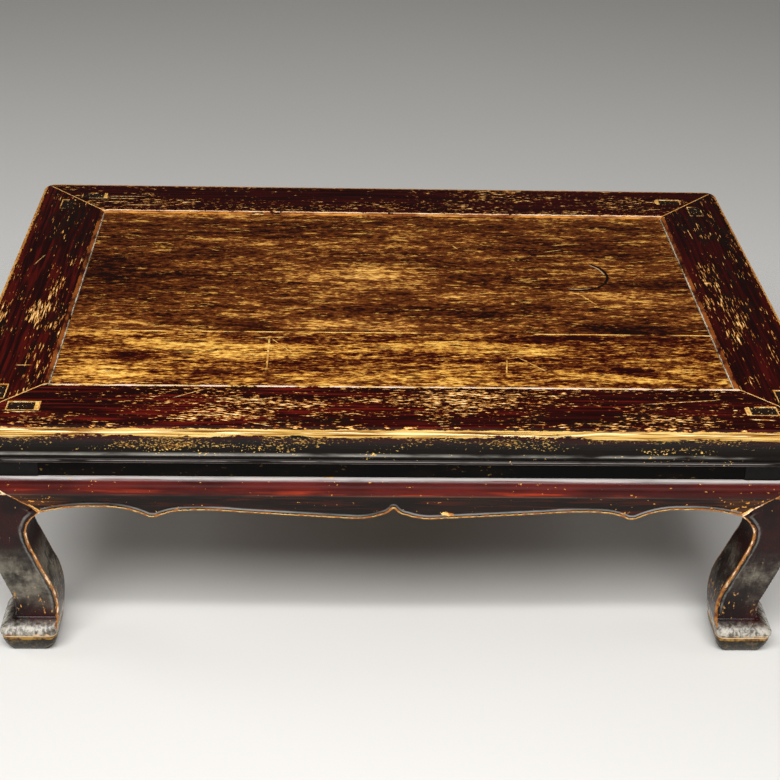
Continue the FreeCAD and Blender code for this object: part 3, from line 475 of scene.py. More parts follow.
def apron_finish(name, axis):
    """Glossy red-brown band above the ridge, near black below it as painted shade, with a worn lower arris,
    and painted highlights under the waist, on the ridge and on the bead.
    """
    f = Finish(name)
    streaks = f.grain(along(axis, 12, 240), 4, seed=3.3)
    cloud = f.grain(along(axis, 8, 40), 3, seed=1.1)
    flecks = f.grain(along(axis, 170, 260), 3, seed=6.6)
    chips = f.grain(along(axis, 26, 60), 1, 0.5, seed=2.4)
    rag = f.grain((150, 150, 150), 3, seed=9.4)
    arris = f.through("ShaderNodeAttribute", output="Fac", attribute_name="arris")
    run, edge = (f.x, HALF_LENGTH) if axis == 0 else (f.y, HALF_WIDTH)
    from_mitre = edge - MITRE_REACH - abs(run)
    height = f.z - RIDGE_LEVEL

    # Near black below the ridge: painted darker than the band above, as the shade where the face turns down
    f.colour = f.tones(cloud, 0.4, 0.7, "0e0603", "1e0f08")
    f.lay("4a1608", f.fade(streaks, 0.5, 0.66) * 0.5)
    glow = f.fade(height, 10 * MM, 2 * MM) * f.fade(streaks, 0.48, 0.64) * f.fade(cloud, 0.40, 0.60)
    band = f.mix(glow, f.tones(cloud, 0.35, 0.65, "320805", "52110a"), "942c0c")
    f.lay(band, f.fade(height, -0.8 * MM, 0.8 * MM))
    # Painted highlight: a thin grey-brown line along the ridge
    f.lay("5e3c2c", f.fade(abs(height), 1.5 * MM, 0.6 * MM) * f.fade(cloud, 0.40, 0.56) * 0.7)
    # Painted highlight: a pale line along the top of the shoulder, just under the waist
    shoulder_highlight = f.fade(f.z - WAIST_FOOT + (streaks - 0.5) * (3 * MM), -2.4 * MM, -0.5 * MM)
    f.lay("d6d2ce", shoulder_highlight * f.fade(cloud, 0.15, 0.45) * 0.65)

    # Painted highlight: a grey line along the bead above the lower arris
    bead_highlight = f.between(arris, 3.7 * MM, 5.4 * MM, 0.5 * MM) * f.fade(f.facing_up, -0.5, -0.2)
    f.lay("8a8884", bead_highlight * f.fade(cloud, 0.25, 0.60) * f.fade(from_mitre, -1 * MM, 2 * MM) * 0.7)
    corner = f.fade(from_mitre, 40 * MM, 0) * f.fade(height, 3 * MM, -5 * MM)
    f.lay("5a3010", corner * f.fade(streaks, 0.35, 0.6) * 0.7)
    rubbed = f.fade(flecks + corner * 0.095 + streaks * 0.25, 0.820, 0.838)
    f.lay(f.tones(flecks, 0.5, 0.62, "7c4316", "c78a3a"), rubbed)
    chipped = f.fade(chips + flecks * 0.25, 0.912, 0.92)
    worn = f.fade(arris + (rag - 0.5) * (5 * MM), 3.0 * MM, 2.1 * MM)
    f.lay(f.tones(rag, 0.42, 0.6, "9c5c20", "eab968"), f.most(worn, chipped))
    underside(f)
    mark = f.most(worn, rubbed, chipped)
    f.bump(streaks * 0.5 + flecks * 0.3 + mark * -0.3, 0.12 * MM)
    return f.finish(mark * 0.25 + cloud * 0.16 + 0.16, 0.20)


# Leg: heights over the floor, and the painted bead highlight and its painted furrow shade as distances from
# the inner arris
SHIN_SHEEN = (66 * MM, 132 * MM)
HOOF_SHEEN = (23 * MM, 36 * MM)
SCUFFS = (40 * MM, 80 * MM)
PAD_TOP = (19.5 * MM, 18 * MM)
LIP_LOW, LIP_HIGH = (18.5 * MM, 20 * MM), (24.4 * MM, 23.8 * MM)
CREAM_HIGHLIGHT_LINE = (23.1 * MM, 24.2 * MM)
BEAD_HIGHLIGHT, FURROW_SHADE = (5.2 * MM, 7.6 * MM), (3.6 * MM, 4.7 * MM)


def leg_finish():
    """Near-black lacquer with a painted grey sheen on the shins and a painted silver sheen on the hoof,
    worn to orange and cream along the arrises.
    """
    f = Finish("leg_lacquer_worn")
    streaks = f.grain((240, 240, 30), 4, seed=3.3)
    cloud = f.grain((26, 26, 26), 5, 0.62, seed=1.7)
    mottle = f.grain((120, 120, 120), 4, 0.65, seed=4.6)
    flecks = f.grain((300, 300, 200), 3, seed=6.6)
    rag = f.grain((130, 130, 90), 3, seed=9.4)
    uneven = rag - 0.5
    arris = f.through("ShaderNodeAttribute", output="Fac", attribute_name="arris")

    f.colour = f.tones(cloud, 0.35, 0.65, "100302", "260604")
    # Painted reflection: a grey sheen on the shins, darker on the legs to the right
    shin_sheen = f.between(f.z + (cloud - 0.5) * (40 * MM), *SHIN_SHEEN, 20 * MM)
    shin_sheen_tone = streaks * 0.2 + mottle * 0.2 + cloud * 0.6 + f.x * -0.1
    f.lay(f.tones(shin_sheen_tone, 0.4, 0.62, "3c372f", "746e61"), shin_sheen * f.fade(shin_sheen_tone, 0.34, 0.60))
    # Painted highlight: a silver sheen on the hoof's shelf and face
    hoof_sheen_texture = streaks * 0.5 + mottle * 0.5
    hoof_sheen = f.between(f.z, *HOOF_SHEEN, 4 * MM) * f.fade(hoof_sheen_texture, 0.28, 0.46)
    f.lay(f.tones(hoof_sheen_texture, 0.42, 0.58, "5c564c", "b0aa9e"), hoof_sheen)
    # Painted shade: the post beside the waist is painted near black, like the shaded waist under the top's
    # overhang
    post_shade = f.fade(f.z, WAIST_FOOT - 2 * MM, WAIST_FOOT + 1 * MM)
    f.lay("040202", post_shade)
    scuffs = f.between(f.z, *SCUFFS, 12 * MM) * 0.08
    marks = f.fade(streaks * 0.6 + flecks * 0.4 + scuffs, 0.640, 0.670)
    f.lay(f.tones(flecks, 0.45, 0.6, "6e3a14", "b98848"), marks)

    under_mitre = f.fade(f.z, MITRE_LEVEL + 6 * MM, MITRE_LEVEL - 6 * MM)
    wobble = uneven * (under_mitre * (5 * MM) + 3 * MM)
    from_edge = arris + wobble * 0.4
    outward_x = f.facing_x * f.math("SIGN", f.x)
    outward_y = f.facing_y * f.math("SIGN", f.y)
    outer = f.fade(f.most(outward_x, outward_y), 0.3, 0.6) * under_mitre * f.fade(f.z, 42 * MM, 60 * MM)
    # Painted highlight along the bead beside the inner arris, and painted shade in the furrow next to it
    f.lay("7a7872", f.between(from_edge, *BEAD_HIGHLIGHT, 0.8 * MM) * outer * f.fade(mottle, 0.25, 0.6) * 0.65)
    f.lay("050201", f.between(from_edge, *FURROW_SHADE, 0.5 * MM) * outer * 0.9)
    reach = arris + wobble + under_mitre * f.fade(f.z, 27 * MM, 33 * MM) * (-1.5 * MM)
    lip = f.fade(f.z + uneven * (5 * MM), *LIP_LOW) * f.fade(f.z, *LIP_HIGH)
    worn = f.most(f.fade(reach, 1.4 * MM, 0.7 * MM), lip)
    fresh = f.tones(rag, 0.36, 0.60, "68350f", "b07432")
    fresh = f.mix(lip, fresh, f.tones(rag, 0.36, 0.60, "55390f", "a07a34"))
    bare = f.fade(arris + uneven * (7 * MM), 1.2 * MM, 0.6 * MM) * f.fade(cloud, 0.42, 0.52)
    # Cream on worn arrises, and a cream line on the hoof's lip that is partly worn wood and partly a
    # painted highlight
    cream_wear_and_highlight = f.most(bare, f.between(f.z, *CREAM_HIGHLIGHT_LINE, 0.2 * MM))
    f.lay(f.mix(cream_wear_and_highlight, fresh, "ecc9a0"), worn)
    patina = f.tones(mottle + flecks * 0.4, 0.66, 0.86, "24201a", "54452c")
    f.lay(patina, f.fade(f.z, *PAD_TOP))

    pores = f.grain((420, 420, 420), 1, 0.5, seed=2.2)
    end_grain = f.fade(f.z, TOP_LEVEL - 2 * MM, TOP_LEVEL - 1 * MM)
    f.lay(f.tones(pores, 0.69, 0.72, "1a0b05", "d8b474"), end_grain)
    underside(f)
    f.bump(streaks * 0.4 + cloud * 0.6 + mottle * 0.3, 0.3 * MM)
    return f.finish(f.most(worn, marks) * 0.2 + mottle * 0.5 + post_shade * 0.35 - 0.02, 0.20)


def waist_finish():
    """Black lacquer painted near black as the shade under the top's overhang, with a few worn specks."""
    f = Finish("waist_lacquer_black")
    cloud = f.grain((20, 20, 60), 4, seed=2.1)
    specks = f.grain((150, 150, 320), 2, seed=5.5)
    # Near black: black lacquer darkened to paint the shade under the top's overhang
    f.colour = f.tones(cloud, 0.4, 0.7, "020101", "0e0805")
    f.lay("6b5426", f.fade(specks, 0.64, 0.68) * f.fade(cloud, 0.5, 0.6))
    underside(f)
    f.bump(cloud, 0.2 * MM)
    return f.finish(cloud * 0.2 + 0.5, 0.08)


def softwood_finish(name, dark, pale, per_metre=(60, 60, 60)):
    f = Finish(name)
    fibre = f.grain(per_metre, 6, 0.7, seed=5.0, warp=0.4)
    f.colour = f.tones(fibre, 0.35, 0.65, dark, pale)
    f.bump(fibre, 0.4 * MM)
    return f.finish(0.6, 0.3)


# Shapes made by rule

def rule_tree(name, sizes):
    """An empty geometry tree with named inputs, its wiring, and the signals of those inputs."""
    tree = bpy.data.node_groups.new(name, "GeometryNodeTree")
    tree.interface.new_socket("Geometry", in_out="INPUT", socket_type="NodeSocketGeometry")
    for label, value in sizes.items():
        socket = tree.interface.new_socket(label, in_out="INPUT", socket_type="NodeSocketFloat")
        socket.default_value = value
    tree.interface.new_socket("Lacquer", in_out="INPUT", socket_type="NodeSocketMaterial")
    tree.interface.new_socket("Geometry", in_out="OUTPUT", socket_type="NodeSocketGeometry")
    w = Wiring(tree)
    return tree, w, {socket.name: Signal(w, socket) for socket in w.node("NodeGroupInput").outputs}


def close_tree(w, geometry, given):
    """Ends a tree with real geometry that carries its material."""
    real = w.through("GeometryNodeRealizeInstances", {0: geometry})
    dressed = w.through("GeometryNodeSetMaterial", {"Geometry": real, "Material": given["Lacquer"]})
    w.node("NodeGroupOutput", {"Geometry": dressed})


def shaped(piece, tree, material, **sizes):
    """Runs a tree on a piece and keeps the result as a plain mesh."""
    rule = piece.modifiers.new(tree.name, "NODES")
    rule.node_group = tree
    inputs = [item for item in tree.interface.items_tree if item.in_out == "INPUT"]
    identifiers = {item.name.lower().replace(" ", "_"): item.identifier for item in inputs}
    for name, value in {"lacquer": material, **sizes}.items():
        rule[identifiers[name]] = value
    return baked(piece)


def noise_field(w, scale, seed):
    """Noise about 0 over a piece's surface."""
    inputs = {"Scale": scale, "Detail": 1, "W": seed}
    return w.through("ShaderNodeTexNoise", inputs, "Fac", noise_dimensions="4D") - 0.5


def make_wear_tree():
    """Wears hollows into arrises and gives flat faces a slight sway."""
    sizes = {"Hollow depth": 0.35 * MM, "Hollow reach": 3 * MM, "Sway": 0.12 * MM, "Seed": 4.0}
    tree, w, given = rule_tree("worn_arrises", sizes)
    named = w.node("GeometryNodeInputNamedAttribute", data_type="FLOAT")
    named.inputs["Name"].default_value = "arris"
    arris = Signal(w, named.outputs["Attribute"])
    near = w.math("SUBTRACT", 1, arris / given["Hollow reach"], clamp=True)
    rough = noise_field(w, 90, given["Seed"]) * 1.6 + noise_field(w, 260, given["Seed"])
    hollow = near * near * given["Hollow depth"] * w.math("MAXIMUM", rough + 0.25, 0)
    sway = given["Sway"] * abs(noise_field(w, 28, given["Seed"]))
    push = {0: w.through("GeometryNodeInputNormal"), "Scale": (hollow + sway) * -1}
    push = w.through("ShaderNodeVectorMath", push, operation="SCALE")
    inputs = {"Geometry": given["Geometry"], "Offset": push}
    close_tree(w, w.through("GeometryNodeSetPosition", inputs), given)
    return tree


def placed(w, shape, given):
    """Puts one shape at each place, turned round where the place lies right of the middle."""
    x, _, _ = w.parted(w.through("GeometryNodeInputPosition"))
    turn = w.through("ShaderNodeCombineXYZ", {2: w.math("GREATER_THAN", x, 0) * math.pi})
    points = w.through("GeometryNodeMeshToPoints", {"Mesh": given["Geometry"]})
    inputs = {"Points": points, "Instance": shape, "Rotation": turn}
    return w.through("GeometryNodeInstanceOnPoints", inputs)


def reshaped(w, mesh, x, y, z):
    """Moves each point of a mesh to a place worked out from its old one."""
    place = w.through("ShaderNodeCombineXYZ", {0: x, 1: y, 2: z})
    return w.through("GeometryNodeSetPosition", {"Geometry": mesh, "Position": place})


def make_wedge_tree():
    """Thin wedges beside the long tenons, upright on the tenon's side and tapered on the other."""
    sizes = {"Head": 4 * MM, "Tip": 1.5 * MM, "Width": 16 * MM, "Height": 36 * MM}
    tree, w, given = rule_tree("tenon_wedge_row", sizes)
    counts = {"Size": (1, 1, 1), "Vertices X": 3, "Vertices Y": 6, "Vertices Z": 8}
    block = w.through("GeometryNodeMeshCube", counts, "Mesh")
    x, y, z = w.parted(w.through("GeometryNodeInputPosition"))
    share = z + 0.5
    thickness = (given["Head"] - given["Tip"]) * share + given["Tip"]
    wedge = reshaped(w, block, (x + 0.5) * thickness, y * given["Width"], (share - 1) * given["Height"])
    close_tree(w, placed(w, wedge, given), given)
    return tree


def make_peg_tree():
    """Round pegs across the seam of the two boards, with eased ends."""
    sizes = {"Radius": 2 * MM, "Length": 36 * MM, "Eased end": 1.2 * MM}
    tree, w, given = rule_tree("board_peg_row", sizes)
    counts = {"Vertices": 20, "Side Segments": 24, "Radius": 1, "Depth": 1}
    stick = w.through("GeometryNodeMeshCylinder", counts, "Mesh")
    x, y, z = w.parted(w.through("GeometryNodeInputPosition"))
    run = z * given["Length"]
    left = given["Length"] * 0.5 - abs(run)
    radius = given["Radius"] * w.math("MINIMUM", left / given["Eased end"] * 0.3 + 0.7, 1)
    peg = reshaped(w, stick, x * radius, run, y * radius * -1)
    close_tree(w, placed(w, peg, given), given)
    return tree


# Meshes

def welded(node):
    mesh = bmesh.new()
    mesh.from_mesh(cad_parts[node].data)
    bmesh.ops.remove_doubles(mesh, verts=mesh.verts, dist=WELD)
    return mesh


def as_object(name, mesh):
    data = bpy.data.meshes.new(name)
    mesh.to_mesh(data)
    mesh.free()
    piece = bpy.data.objects.new(name, data)
    bpy.context.scene.collection.objects.link(piece)
    return piece


def baked(piece):
    """Applies a piece's modifiers to its mesh."""
    bpy.context.view_layer.update()
    shape = piece.evaluated_get(bpy.context.evaluated_depsgraph_get())
    data = bpy.data.meshes.new_from_object(shape)
    piece.modifiers.clear()
    piece.data = data
    return piece


def section(node, axis, place):
    """A rail's outline across one axis, in order, as (setback, height) points."""
    normal = Vector((axis == 0, axis == 1, 0))
    mesh = welded(node)
    geometry = mesh.verts[:] + mesh.edges[:] + mesh.faces[:]
    bmesh.ops.bisect_plane(
        mesh, geom=geometry, plane_co=normal * place, plane_no=normal, clear_inner=True, clear_outer=True
    )
    start = mesh.verts[:][0]
    loop, previous, here = [start], None, start
    while True:
        ways = [e.other_vert(here) for e in here.link_edges if e.other_vert(here) is not previous]
        previous, here = here, ways[0]
        if here is start:
            break
        loop.append(here)
    edge = HALF_WIDTH if axis == 0 else HALF_LENGTH
    across = 1 - axis
    outline = [(edge - abs(v.co[across]), v.co.z) for v in loop]
    mesh.free()
    area = sum(a[0] * b[1] - b[0] * a[1] for a, b in zip(outline, outline[1:] + outline[:1]))
    return outline if area > 0 else outline[::-1]


def turn_at(outline, i):
    """How far an outline turns at a point, positive where the corner is convex."""
    before, here, after = (Vector(outline[(i + k) % len(outline)]) for k in (-1, 0, 1))
    first, second = here - before, after - here
    if first.length < WELD or second.length < WELD:
        return 0.0
    return first.angle_signed(second) * -1


STRAIGHT_TURN = math.radians(0.4)


def straightened(outline):
    """Leaves out the points that lie on a straight run."""
    return [p for i, p in enumerate(outline) if abs(turn_at(outline, i)) > STRAIGHT_TURN]


CORNER_TURN = math.radians(25)
ARRIS_RADIUS = 0.7 * MM
ARRIS_SHARES = (0, 0.33, 0.67, 1)


def softened(outline):
    """Rounds each sharp convex corner by a small radius."""
    result = []
    for i, point in enumerate(outline):
        if turn_at(outline, i) < CORNER_TURN:
            result.append(point)
            continue
        here = Vector(point)
        before, after = Vector(outline[i - 1]) - here, Vector(outline[(i + 1) % len(outline)]) - here
        reach = min(ARRIS_RADIUS, 0.4 * before.length, 0.4 * after.length)
        start, end = here + before.normalized() * reach, here + after.normalized() * reach
        for share in ARRIS_SHARES:
            rest = 1 - share
            result.append(tuple(rest ** 2 * start + 2 * share * rest * here + share ** 2 * end))
    return result


NEAR_ARRIS_STEPS = (0.5 * MM, 1.3 * MM, 2.6 * MM, 4.6 * MM)
WIDEST_STEP = 5 * MM
LONG_RUN = 3 * MM
ROUNDED_SPAN = 9 * MM


def refined(outline):
    """Adds points to long runs, closer together near their ends."""
    result = []
    for i, point in enumerate(outline):
        here, there = Vector(point), Vector(outline[(i + 1) % len(outline)])
        run = (there - here).length
        result.append(point)
        if run < LONG_RUN:
            continue
        ends = [s for s in NEAR_ARRIS_STEPS if s < 0.4 * run]
        middle_start, middle_end = ends[-1], run - ends[-1]
        count = max(1, round((middle_end - middle_start) / WIDEST_STEP))
        middle = [middle_start + (middle_end - middle_start) * k / count for k in range(1, count)]
        for reach in ends + middle + [run - s for s in ends[::-1]]:
            result.append(tuple(here.lerp(there, reach / run)))
    return result


def arris_points(outline):
    """Places of a section's convex arrises, rounded ones too."""
    places = []
    for i, point in enumerate(outline):
        reach = (Vector(outline[(i + 1) % len(outline)]) - Vector(outline[i - 1])).length / 2
        if turn_at(outline, i) > min(CORNER_TURN, reach / ROUNDED_SPAN):
            places.append(point)
    return places


def tree_of(places):
    tree = KDTree(len(places))
    for i, place in enumerate(places):
        tree.insert(place, i)
    tree.balance()
    return tree


MITRE_STEPS = (0.0, 0.3 * MM, 0.8 * MM, 1.5 * MM, 3 * MM, 6 * MM)
MITRE_EASING = 0.35 * MM
MITRE_EASED_RUN = 1.4 * MM
STATION_STEP = 4 * MM
CORNER_STEPS = 7


def rail_place(node, setback, run, height):
    """A rail's own measures as a place in the frame."""
    x, y = (run, setback - HALF_WIDTH) if node in LONG_RAILS else (HALF_LENGTH - setback, run)
    turned = node in ("back_rail", "left_end_rail")
    return Vector((-x, -y, height) if turned else (x, y, height))


def rail_rings(outline, half_run):
    """Rows of (setback, run, height) from mitre to mitre, bent round the top's corners at both ends."""
    inward = []
    for i in range(len(outline)):
        way = (Vector(outline[(i + 1) % len(outline)]) - Vector(outline[i - 1])).normalized()
        inward.append(Vector((-way.y, way.x)))
    count = 2 * round(half_run / STATION_STEP)
    arcs = [k / CORNER_STEPS for k in range(1, CORNER_STEPS + 1)]
    stations = [(-1, 0, a) for a in arcs[::-1]] + [(-1, s, 0) for s in MITRE_STEPS[:-1]]
    stations += [(-1 + 2 * k / count, MITRE_STEPS[-1], 0) for k in range(count + 1)]
    stations += [(1, s, 0) for s in MITRE_STEPS[-2::-1]] + [(1, 0, a) for a in arcs]
    rows = []
    for share, back, arc in stations:
        row = []
        for (setback, height), way in zip(outline, inward):
            easing = MITRE_EASING * max(0.0, 1 - back / MITRE_EASED_RUN) ** 2
            if setback < CORNER_ROUND:
                easing *= arc ** 4
            setback, height = Vector((setback, height)) + way * easing
            run = half_run - max(setback, CORNER_ROUND)
            if arc and setback < CORNER_ROUND:
                angle = math.radians(45) * arc
                radius = CORNER_ROUND - setback
                run += radius * math.sin(angle)
                setback = CORNER_ROUND - radius * math.cos(angle)
            row.append((setback, share * (run - back), height))
        rows.append(row)
    return rows


def lofted(rows, place):
    """Closed skin through rings of points, with a flat cap at each end."""
    mesh = bmesh.new()
    rings = [[mesh.verts.new(place(*p)) for p in row] for row in rows]
    for first, second in zip(rings, rings[1:]):
        for i in range(len(first)):
            k = (i + 1) % len(first)
            mesh.faces.new((first[i], first[k], second[k], second[i]))
    mesh.faces.new(rings[0][::-1])
    mesh.faces.new(rings[-1])
    bmesh.ops.remove_doubles(mesh, verts=mesh.verts, dist=WELD)
    bmesh.ops.recalc_face_normals(mesh, faces=mesh.faces)
    return mesh


def measure_arris(piece, distance_to):
    """Keeps each point's distance to the nearest arris for the wear and the lacquer."""
    distances = piece.data.attributes.new("arris", "FLOAT", "POINT")
    for v in piece.data.vertices:
        distances.data[v.index].value = distance_to(v.co)


def smooth(piece, angle=38):
    """Shades a piece smooth, except at edges sharper than an angle in degrees."""
    piece.data.shade_smooth()
    piece.data.set_sharp_from_angle(angle=math.radians(angle))


def dress(piece, slot, *nodes):
    """Puts a finished piece on the table in place of its nodes."""
    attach(piece, "root")
    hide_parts(*nodes)


TENON_ROOM = 0.25 * MM
CUT_OVERRUN = 5 * MM


def tenon_holes(node):
    """Blocks that fill the room of the leg tenons and wedges in one rail."""
    half_run, span = (HALF_LENGTH, WEDGED_SPAN) if node in LONG_RAILS else (HALF_WIDTH, TENON_SPAN)
    setbacks = (TENON_DEPTH[0] - TENON_ROOM, TENON_DEPTH[1] + TENON_ROOM)
    heights = (FRAME_LOW.z - CUT_OVERRUN, TOP_LEVEL + CUT_OVERRUN)
    blocks = bmesh.new()
    for end in (-1, 1):
        runs = (end * (half_run - span[0] + TENON_ROOM), end * (half_run - span[1]))
        corners = [rail_place(node, s, r, h) for s in setbacks for r in runs for h in heights]
        for v in bmesh.ops.create_cube(blocks, size=1)["verts"]:
            v.co = Vector((min if v.co[i] < 0 else max)(c[i] for c in corners) for i in range(3))
    return as_object("tenon_rooms", blocks)


SECTION_PLACE = 3 * MM
RAIL_WEAR = {"hollow_depth": 0.35 * MM, "hollow_reach": 3 * MM, "sway": 0.12 * MM}


def build_rail(node, material):
    """A rail drawn along its own section, bent round the top's corners and worn along its arrises."""
    axis = 0 if node in LONG_RAILS else 1
    half_run, edge = (HALF_LENGTH, HALF_WIDTH) if axis == 0 else (HALF_WIDTH, HALF_LENGTH)
    outline = straightened(section(node, axis, SECTION_PLACE))
    arris = tree_of([(s, h, 0) for s, h in arris_points(outline)])
    rows = rail_rings(refined(softened(outline)), half_run)
    piece = as_object(node + "_worn", lofted(rows, lambda *point: rail_place(node, *point)))
    rooms = tenon_holes(node)
    cut = piece.modifiers.new("rooms", "BOOLEAN")
    cut.operation = "DIFFERENCE"
    cut.solver = "EXACT"
    cut.object = rooms
    baked(piece)
    bpy.data.objects.remove(rooms)
    measure_arris(piece, lambda place: arris.find((edge - abs(place[1 - axis]), place.z, 0))[2])
    shaped(piece, WORN_ARRISES, material, **RAIL_WEAR)
    smooth(piece)
    dress(piece, "rail_lacquer", node)


BOARD_STEP = 4 * MM
BOARD_EDGE_STEPS = (0.0, 0.25 * MM, 0.7 * MM, 1.5 * MM, 3 * MM)
TONGUE_SHOULDER = 3.5 * MM
TONGUE_STEP = 0.01 * MM
BOARD_EASING, BOARD_EASED_RUN = 0.35 * MM, 1.2 * MM
FACE_DROP = 0.1 * MM
# Hollows in a board's face: waves a metre along and across it, depth, layer of the noise
FACE_HOLLOWS = ((7, 22, 0.12 * MM, 1.5), (30, 120, 0.05 * MM, 4.5))


def graded(low, high):
    """Places from low to high, closer together near both ends."""
    start, end = low + BOARD_EDGE_STEPS[-1], high - BOARD_EDGE_STEPS[-1]
    count = max(2, round((end - start) / BOARD_STEP))
    inner = [start + (end - start) * k / count for k in range(1, count)]
    return [low + s for s in BOARD_EDGE_STEPS] + inner + [high - s for s in BOARD_EDGE_STEPS[::-1]]


def build_board(node, material, open_low, open_high):
    """A board of the panel: its face between the rails, and a thinner tongue under their edges."""
    low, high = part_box(node)
    xs, ys = graded(open_low[0], open_high[0]), graded(open_low[1], open_high[1])
    xs = [low.x, open_low[0] - TONGUE_STEP] + xs + [open_high[0] + TONGUE_STEP, high.x]
    if low.y < open_low[1] - PANEL_ROOM:
        ys = [low.y, open_low[1] - TONGUE_STEP] + ys
    if high.y > open_high[1] + PANEL_ROOM:
        ys = ys + [open_high[1] + TONGUE_STEP, high.y]
    mesh = bmesh.new()
    tops, bases = {}, {}
    for i, x in enumerate(xs):
        for j, y in enumerate(ys):
            reach = min(x - open_low[0], open_high[0] - x, y - open_low[1], open_high[1] - y)
            easing = BOARD_EASING * max(0.0, 1 - max(reach, 0) / BOARD_EASED_RUN) ** 2
            face = high.z - FACE_DROP - easing
            for run, across, depth, layer in FACE_HOLLOWS:
                face += depth * noise.noise(Vector((x * run, y * across, layer)))
            tops[i, j] = mesh.verts.new((x, y, face if reach >= -WELD else high.z - TONGUE_SHOULDER))
            bases[i, j] = mesh.verts.new((x, y, low.z))
    columns, rows = len(xs), len(ys)
    for i in range(columns - 1):
        for j in range(rows - 1):
            mesh.faces.new((tops[i, j], tops[i + 1, j], tops[i + 1, j + 1], tops[i, j + 1]))
            mesh.faces.new((bases[i, j], bases[i, j + 1], bases[i + 1, j + 1], bases[i + 1, j]))
    rim = [(i, 0) for i in range(columns)] + [(columns - 1, j) for j in range(1, rows)]
    rim += [(i, rows - 1) for i in range(columns - 2, -1, -1)] + [(0, j) for j in range(rows - 2, 0, -1)]
    for a, b in zip(rim, rim[1:] + rim[:1]):
        mesh.faces.new((tops[a], bases[a], bases[b], tops[b]))
    bmesh.ops.recalc_face_normals(mesh, faces=mesh.faces)
    piece = as_object(node + "_worn", mesh)
    smooth(piece, angle=30)
    piece.data.materials.append(material)
    dress(piece, "panel_lacquer", node)


SHARP_TURN = math.radians(32)
ARRIS_STEP = 1 * MM


def sharp_tree(node, worn_to, faces_wear):
    """Places along those convex arrises of a node's mesh that wear, up to a level."""
    mesh = welded(node)
    places = []
    for edge in mesh.edges:
        sharp = len(edge.link_faces) == 2 and edge.is_convex and edge.calc_face_angle() > SHARP_TURN
        first, second = (v.co for v in edge.verts)
        height = (first.z + second.z) / 2
        if sharp and any(faces_wear(face.normal, height) for face in edge.link_faces):
            count = max(1, math.ceil((second - first).length / ARRIS_STEP))
            places += [first.lerp(second, k / count) for k in range(count + 1)]
    mesh.free()
    return tree_of([place for place in places if place.z < worn_to])


FOOT_SLICE = 1 * MM
FOOT_ROUND, ANKLE_ROUND = 9 * MM, 1.5 * MM
HOOF_TOP, ANKLE_LEVEL = 28 * MM, 50 * MM


def round_foot(piece):
    """Rounds the upright corners of a hoof and its pad, less and less towards the ankle."""
    slices = {}
    foot = [v for v in piece.data.vertices if v.co.z < ANKLE_LEVEL]
    for v in foot:
        low, high = slices.setdefault(round(v.co.z / FOOT_SLICE), [v.co.copy(), v.co.copy()])
        for i in (0, 1):
            low[i], high[i] = min(low[i], v.co[i]), max(high[i], v.co[i])
    for v in foot:
        share = min(1, max(0, (v.co.z - HOOF_TOP) / (ANKLE_LEVEL - HOOF_TOP)))
        radius = FOOT_ROUND + (ANKLE_ROUND - FOOT_ROUND) * share
        low, high = slices[round(v.co.z / FOOT_SLICE)]
        centre = Vector(min(max(v.co[i], low[i] + radius), high[i] - radius) for i in (0, 1))
        away = v.co.xy - centre
        if min(abs(away.x), abs(away.y)) > 0 and away.length > radius:
            v.co.xy = centre + away.normalized() * radius


CARVED_VOXEL = 1.1 * MM
CARVED_WEAR = {"hollow_depth": 0.25 * MM, "hollow_reach": 3 * MM, "sway": 0.10 * MM}
LEG_KEEP, APRON_KEEP = 0.85, 0.75


def build_carved(node, material, slot, keep, worn_to, faces_wear):
    """Skin of a carved piece with softened and worn arrises."""
    arris = sharp_tree(node, worn_to, faces_wear)
    piece = as_object(node + "_worn", welded(node))
    skin = piece.modifiers.new("skin", "REMESH")
    skin.mode = "VOXEL"
    skin.voxel_size = CARVED_VOXEL
    ease = piece.modifiers.new("ease", "SMOOTH")
    ease.factor = 0.5
    ease.iterations = 4
    thin = piece.modifiers.new("thin", "DECIMATE")
    thin.ratio = keep
    baked(piece)
    if node in LEGS:
        round_foot(piece)
    measure_arris(piece, lambda place: arris.find(place)[2])
    shaped(piece, WORN_ARRISES, material, **CARVED_WEAR)
    piece.data.shade_smooth()
    dress(piece, slot, node)


KNEE_LEVEL = MITRE_LEVEL - 25 * MM


def build_leg(node, material):
    """A cabriole leg, worn along the arrises of its inner side, under its mitre and round its hoof."""
    low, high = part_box(node)
    inward_x, inward_y = (-math.copysign(1, low[i] + high[i]) for i in (0, 1))

    def wears(way, height):
        if way.x * inward_x > 0.5 or way.y * inward_y > 0.5:
            return True
        return way.z < -0.3 and not HOOF_TOP < height < KNEE_LEVEL

    build_carved(node, material, "leg_lacquer", LEG_KEEP, WAIST_FOOT - 4 * MM, wears)


def build_row(name, tree, material, slot, places, node, **sizes):
    """A group of equal small pieces, one at each place."""
    mesh = bmesh.new()
    for place in places:
        mesh.verts.new(place)
    piece = shaped(as_object(name, mesh), tree, material, **sizes)
    smooth(piece)
    dress(piece, slot, node)


WORN_ARRISES = make_wear_tree()
EXPOSED_BAND, HIDDEN_BAND = 12.4 * MM, 5.5 * MM
for rail, axis, *looks in (
    ("front_rail", 0, FRONT_WEAR, FRONT_SCRATCHES, FRONT_STRIPES, EXPOSED_BAND, 0.0, 0.0, 1.0),
    ("back_rail", 0, BACK_WEAR, BACK_SCRATCHES, BACK_STRIPES, EXPOSED_BAND, 0.68, 5.5 * MM, 0.0),
    ("left_end_rail", 1, LEFT_WEAR, LEFT_SCRATCHES, END_STRIPES, HIDDEN_BAND, 0.60, 4.6 * MM, 0.35),
    ("right_end_rail", 1, RIGHT_WEAR, RIGHT_SCRATCHES, END_STRIPES, HIDDEN_BAND, 0.60, 4.2 * MM, 0.15),
):
    build_rail(rail, rail_finish(rail + "_lacquer", axis, *looks))

